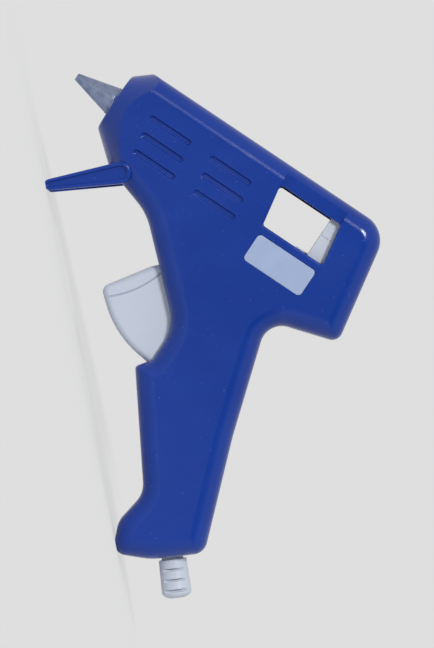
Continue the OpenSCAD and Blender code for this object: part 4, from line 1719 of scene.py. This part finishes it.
@dataclass(frozen=True)
class Studio:
    """Pale floor, one soft sun, pale surroundings and a camera square to the gun's side."""

    pixels: tuple[int, int] = (434, 648)
    mm_per_pixel: float = 0.32
    barrel_in_view: Point = (0.831, 0.556)  # right, down
    nozzle_pixel: Point = (104.3, 20.0)  # along the barrel, across it
    distance: float = 1.8
    near_y: float = -14.0
    floor_half: float = 8.0
    floor_colour: Colour = (0.86, 0.86, 0.86)
    floor_cloud: Point = (0.4, 0.985)  # size in metres, gain
    floor_rough: float = 0.9
    floor_gloss: float = 0.1
    surround: Colour = (0.734, 0.7355, 0.7345)
    floor_blend: float = 0.75
    fill: float = 0.62
    dim: float = 0.04
    dim_from: Point = (0.5, 0.95)  # where it starts, where it is complete
    sun: float = 2.0
    sun_size_deg: float = 12.0
    sensor: float = 24.0
    sun_from: Corner = (0.22, -1.0, 0.56)

    def camera(self, stance: Stance) -> None:
        """Make the camera, in whose view the barrel runs along barrel_in_view.

        nozzle_pixel is the place of the nozzle's tip, in pixels along the barrel and across it.

        Args:
            stance: Where the gun stands.
        """
        c, s = self.barrel_in_view
        middle_u = c * self.pixels[0] / 2 + s * self.pixels[1] / 2
        middle_v = -s * self.pixels[0] / 2 + c * self.pixels[1] / 2
        x = (middle_u - self.nozzle_pixel[0]) * self.mm_per_pixel
        z = -(middle_v - self.nozzle_pixel[1]) * self.mm_per_pixel
        right, up = stance.direction(c, s), stance.direction(-s, c)
        data = bpy.data.cameras.new("side_view")
        data.sensor_fit = "VERTICAL"
        data.sensor_height = self.sensor
        data.lens = self.sensor * self.distance / (self.pixels[1] * self.mm_per_pixel * MM)
        made = linked("side_view", data)
        turn = Matrix((right, up, (0, -1, 0))).transposed().to_4x4()
        middle = stance.point(x, self.near_y, z)
        made.matrix_world = Matrix.Translation(middle + Vector((0, -self.distance, 0))) @ turn
        bpy.context.scene.camera = made

    def lamp(self, stance: Stance) -> None:
        """Make the sun, which comes from the direction sun_from of the gun's frame.

        Args:
            stance: Where the gun stands.
        """
        towards = stance.matrix.to_3x3() @ Vector(self.sun_from)
        data = bpy.data.lights.new("sun", "SUN")
        data.energy = self.sun
        data.angle = math.radians(self.sun_size_deg)
        made = linked("sun", data)
        made.matrix_world = towards.to_track_quat("Z", "Y").to_matrix().to_4x4()

    def world(self) -> None:
        """Make the pale surroundings, dimmer ahead of the gun's near side and even to the camera."""
        world = bpy.data.worlds.new("surroundings")
        bpy.context.scene.world = world
        tree = ShaderTree(world)
        ahead = tree.along(tree.node("ShaderNodeTexCoord", output="Generated"), (0, -1, 0))
        strength = tree.step(ahead, *self.dim_from, ends=(self.fill, self.dim))
        light = tree.node("ShaderNodeBackground", inputs={"Color": (1, 1, 1, 1), "Strength": strength})
        even = tree.node("ShaderNodeBackground", inputs={"Color": (*self.surround, 1)})
        rays = {0: tree.ray("Camera"), 1: tree.ray("Transmission")}
        seen = tree.node("ShaderNodeMath", {"operation": "MAXIMUM"}, rays)
        mixed = tree.node("ShaderNodeMixShader", inputs={0: seen, 1: light, 2: even})
        tree.end("ShaderNodeOutputWorld", mixed)

    def floor(self) -> bpy.types.Object:
        """Make the floor, which takes the gun's shadow.

        Returns:
            The floor.
        """
        half = self.floor_half
        corners = [(-half, -half, 0), (half, -half, 0), (half, half, 0), (-half, half, 0)]
        data = bpy.data.meshes.new("floor")
        data.from_pydata(corners, [], [range(4)])
        made = linked("floor", data)
        paint = Paint("pale_floor")
        size, tone = self.floor_cloud
        darker = toned(self.floor_colour, tone)
        clouded = paint.blend(paint.noise(size, detail=2.0), self.floor_colour, darker)
        paint.shade(Base_Color=clouded, Roughness=self.floor_rough, Specular_IOR_Level=self.floor_gloss)
        data.materials.append(paint.seen_as(self.surround, self.floor_blend))
        return made

    def build(self, stance: Stance) -> None:
        """Make the whole studio.

        Args:
            stance: Where the gun stands.
        """
        self.camera(stance)
        self.lamp(stance)
        self.world()
        self.floor()
        bpy.context.scene.view_settings.view_transform = "Standard"


@dataclass
class GlueGun:
    """All pieces of the gun, made and dressed in order."""

    frame: dict[str, Any]
    form: GunForm = field(default_factory=GunForm)
    finishes: dict[str, bpy.types.Material] = field(default_factory=dict)
    stance: Stance = field(init=False)

    def __post_init__(self) -> None:
        """Work out the stance and mix the finishes."""
        self.stance = Stance.from_joints(self.frame["joints"], self.form.trigger_at)
        barrel, height = self.stance.direction(1, 0), self.stance.direction(0, 1)
        for finish in (
            MouldedPlastic("blue_plastic", (0.003, 0.033, 0.255), (0.005, 0.038, 0.285), 0.2, gloss=0.36),
            MouldedPlastic("white_plastic", (0.51, 0.56, 0.65), (0.54, 0.585, 0.66), 0.42, dust_and_glint_size=0.0006),
            MouldedPlastic("dark_plastic", (0.03, 0.03, 0.033), (0.036, 0.036, 0.04), 0.45),
            TurnedMetal("nozzle_metal", (0.31, 0.36, 0.52), (0.21, 0.26, 0.39), barrel),
            BrightSteel("spring_steel", (0.62, 0.63, 0.65)),
            BrightSteel("copper_plate", (0.75, 0.47, 0.27), rough=0.3),
            GrainyCoat("chamber_alloy", (0.55, 0.55, 0.57), rough=0.42, metal=0.9),
            GrainyCoat("collar_board", (0.55, 0.47, 0.35), rough=0.7),
            GrainyCoat("ceramic", (0.12, 0.115, 0.11), rough=0.75),
            GrainyCoat("film", (0.5, 0.28, 0.05), rough=0.3),
            GrainyCoat("silicone", (0.42, 0.09, 0.05), rough=0.5),
            GrainyCoat("lead_sleeve", (0.33, 0.03, 0.03), rough=0.35),
            BrushedFoil("bare_foil", (0.3, 0.38, 0.56), barrel, height),
        ):
            self.finishes[finish.name] = finish.material()

    def place(
        self, piece: bpy.types.Object, body: Body, slot: str, *nodes: str, finish: str | None = None
    ) -> None:
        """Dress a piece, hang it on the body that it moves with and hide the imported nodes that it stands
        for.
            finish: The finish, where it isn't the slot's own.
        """
        piece.data.materials.clear()
        piece.data.materials.append(self.finishes[finish or slot])
        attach(piece, body.value)
        if nodes:
            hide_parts(*nodes)
        LOG.info("%s: %d faces", piece.name, len(piece.data.polygons))

    def housing(self) -> None:
        """Make the two half-shells, their screws and the bare plate."""
        nodes, stance, form = self.frame["nodes"], self.stance, self.form
        for side, node in ((Side.NEAR, "left_housing"), (Side.FAR, "right_housing")):
            shell = HalfShell(form, side).build(nodes[node], stance, f"{side.name.lower()}_shell")
            self.place(shell, Body.HOUSING, "blue_plastic", node)
        self.place(BarePlate(form).build(stance), Body.HOUSING, "nozzle_metal", finish="bare_foil")
        screws = ScrewSet(form.screw_places, form.head_seat, form.screw_tip, form.head_r)
        made = screws.build("shell_screws", stance, self.finishes["spring_steel"])
        self.place(made, Body.HOUSING, "spring_steel", "housing_screws")

    def working_parts(self) -> None:
        """Make the nozzle, the trigger, the feed and the cord's sleeve."""
        nodes, stance = self.frame["nodes"], self.stance
        self.place(Nozzle().build(stance), Body.HOUSING, "nozzle_metal", "nozzle")
        trigger = Trigger(self.form).build(nodes["trigger"], stance)
        self.place(trigger, Body.TRIGGER, "white_plastic", "trigger")
        slide = Solid.of_node(nodes["feed_carriage"], stance).eased(width=0.25).piece("stick_slide", stance)
        self.place(slide, Body.CARRIAGE, "white_plastic", "feed_carriage")
        self.place(CordEntry(self.form).build(stance), Body.HOUSING, "white_plastic", "strain_relief")

    def springs(self) -> None:
        """Make the trigger's spring and the valve's spring, both hung on the housing."""
        stance, steel, slot = self.stance, self.finishes["spring_steel"], "spring_steel"
        barrel = stance.direction(1, 0)[:]
        back = CoilSpring((82.04, -46.0), 94.95, wire_r=0.4, mean_r=2.8, turns=6)
        pressed = back.build("trigger_spring", stance, steel)
        self.place(pressed, Body.HOUSING, slot, "return_spring")
        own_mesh(pressed)
        valve = CoilSpring((14.3, 0.0), 20.98, wire_r=0.17, mean_r=0.98, turns=4)
        pushed = valve.build("valve_spring", stance, steel)
        self.place(pushed, Body.HOUSING, slot, "check_spring")
        valve.foot(stance)[:]
        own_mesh(pushed)

    def inner_parts(self) -> None:
        """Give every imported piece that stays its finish."""
        slots = {part["node"]: part["material_slot"] for part in self.frame["record"]["subparts"]}
        for name, node in self.frame["nodes"].items():
            node.data.materials.clear()
            node.data.materials.append(self.finishes[slots[name]])
        LOG.info("finishes on %d packed nodes", len(slots))


def main() -> None:
    """Build the gun in its studio."""
    logging.basicConfig(level=logging.INFO, format="%(name)s: %(message)s")
    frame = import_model()
    gun = GlueGun(frame)
    Studio().build(gun.stance)
    gun.housing()
    gun.working_parts()
    gun.springs()
    gun.inner_parts()


if __name__ == "__main__":
    main()
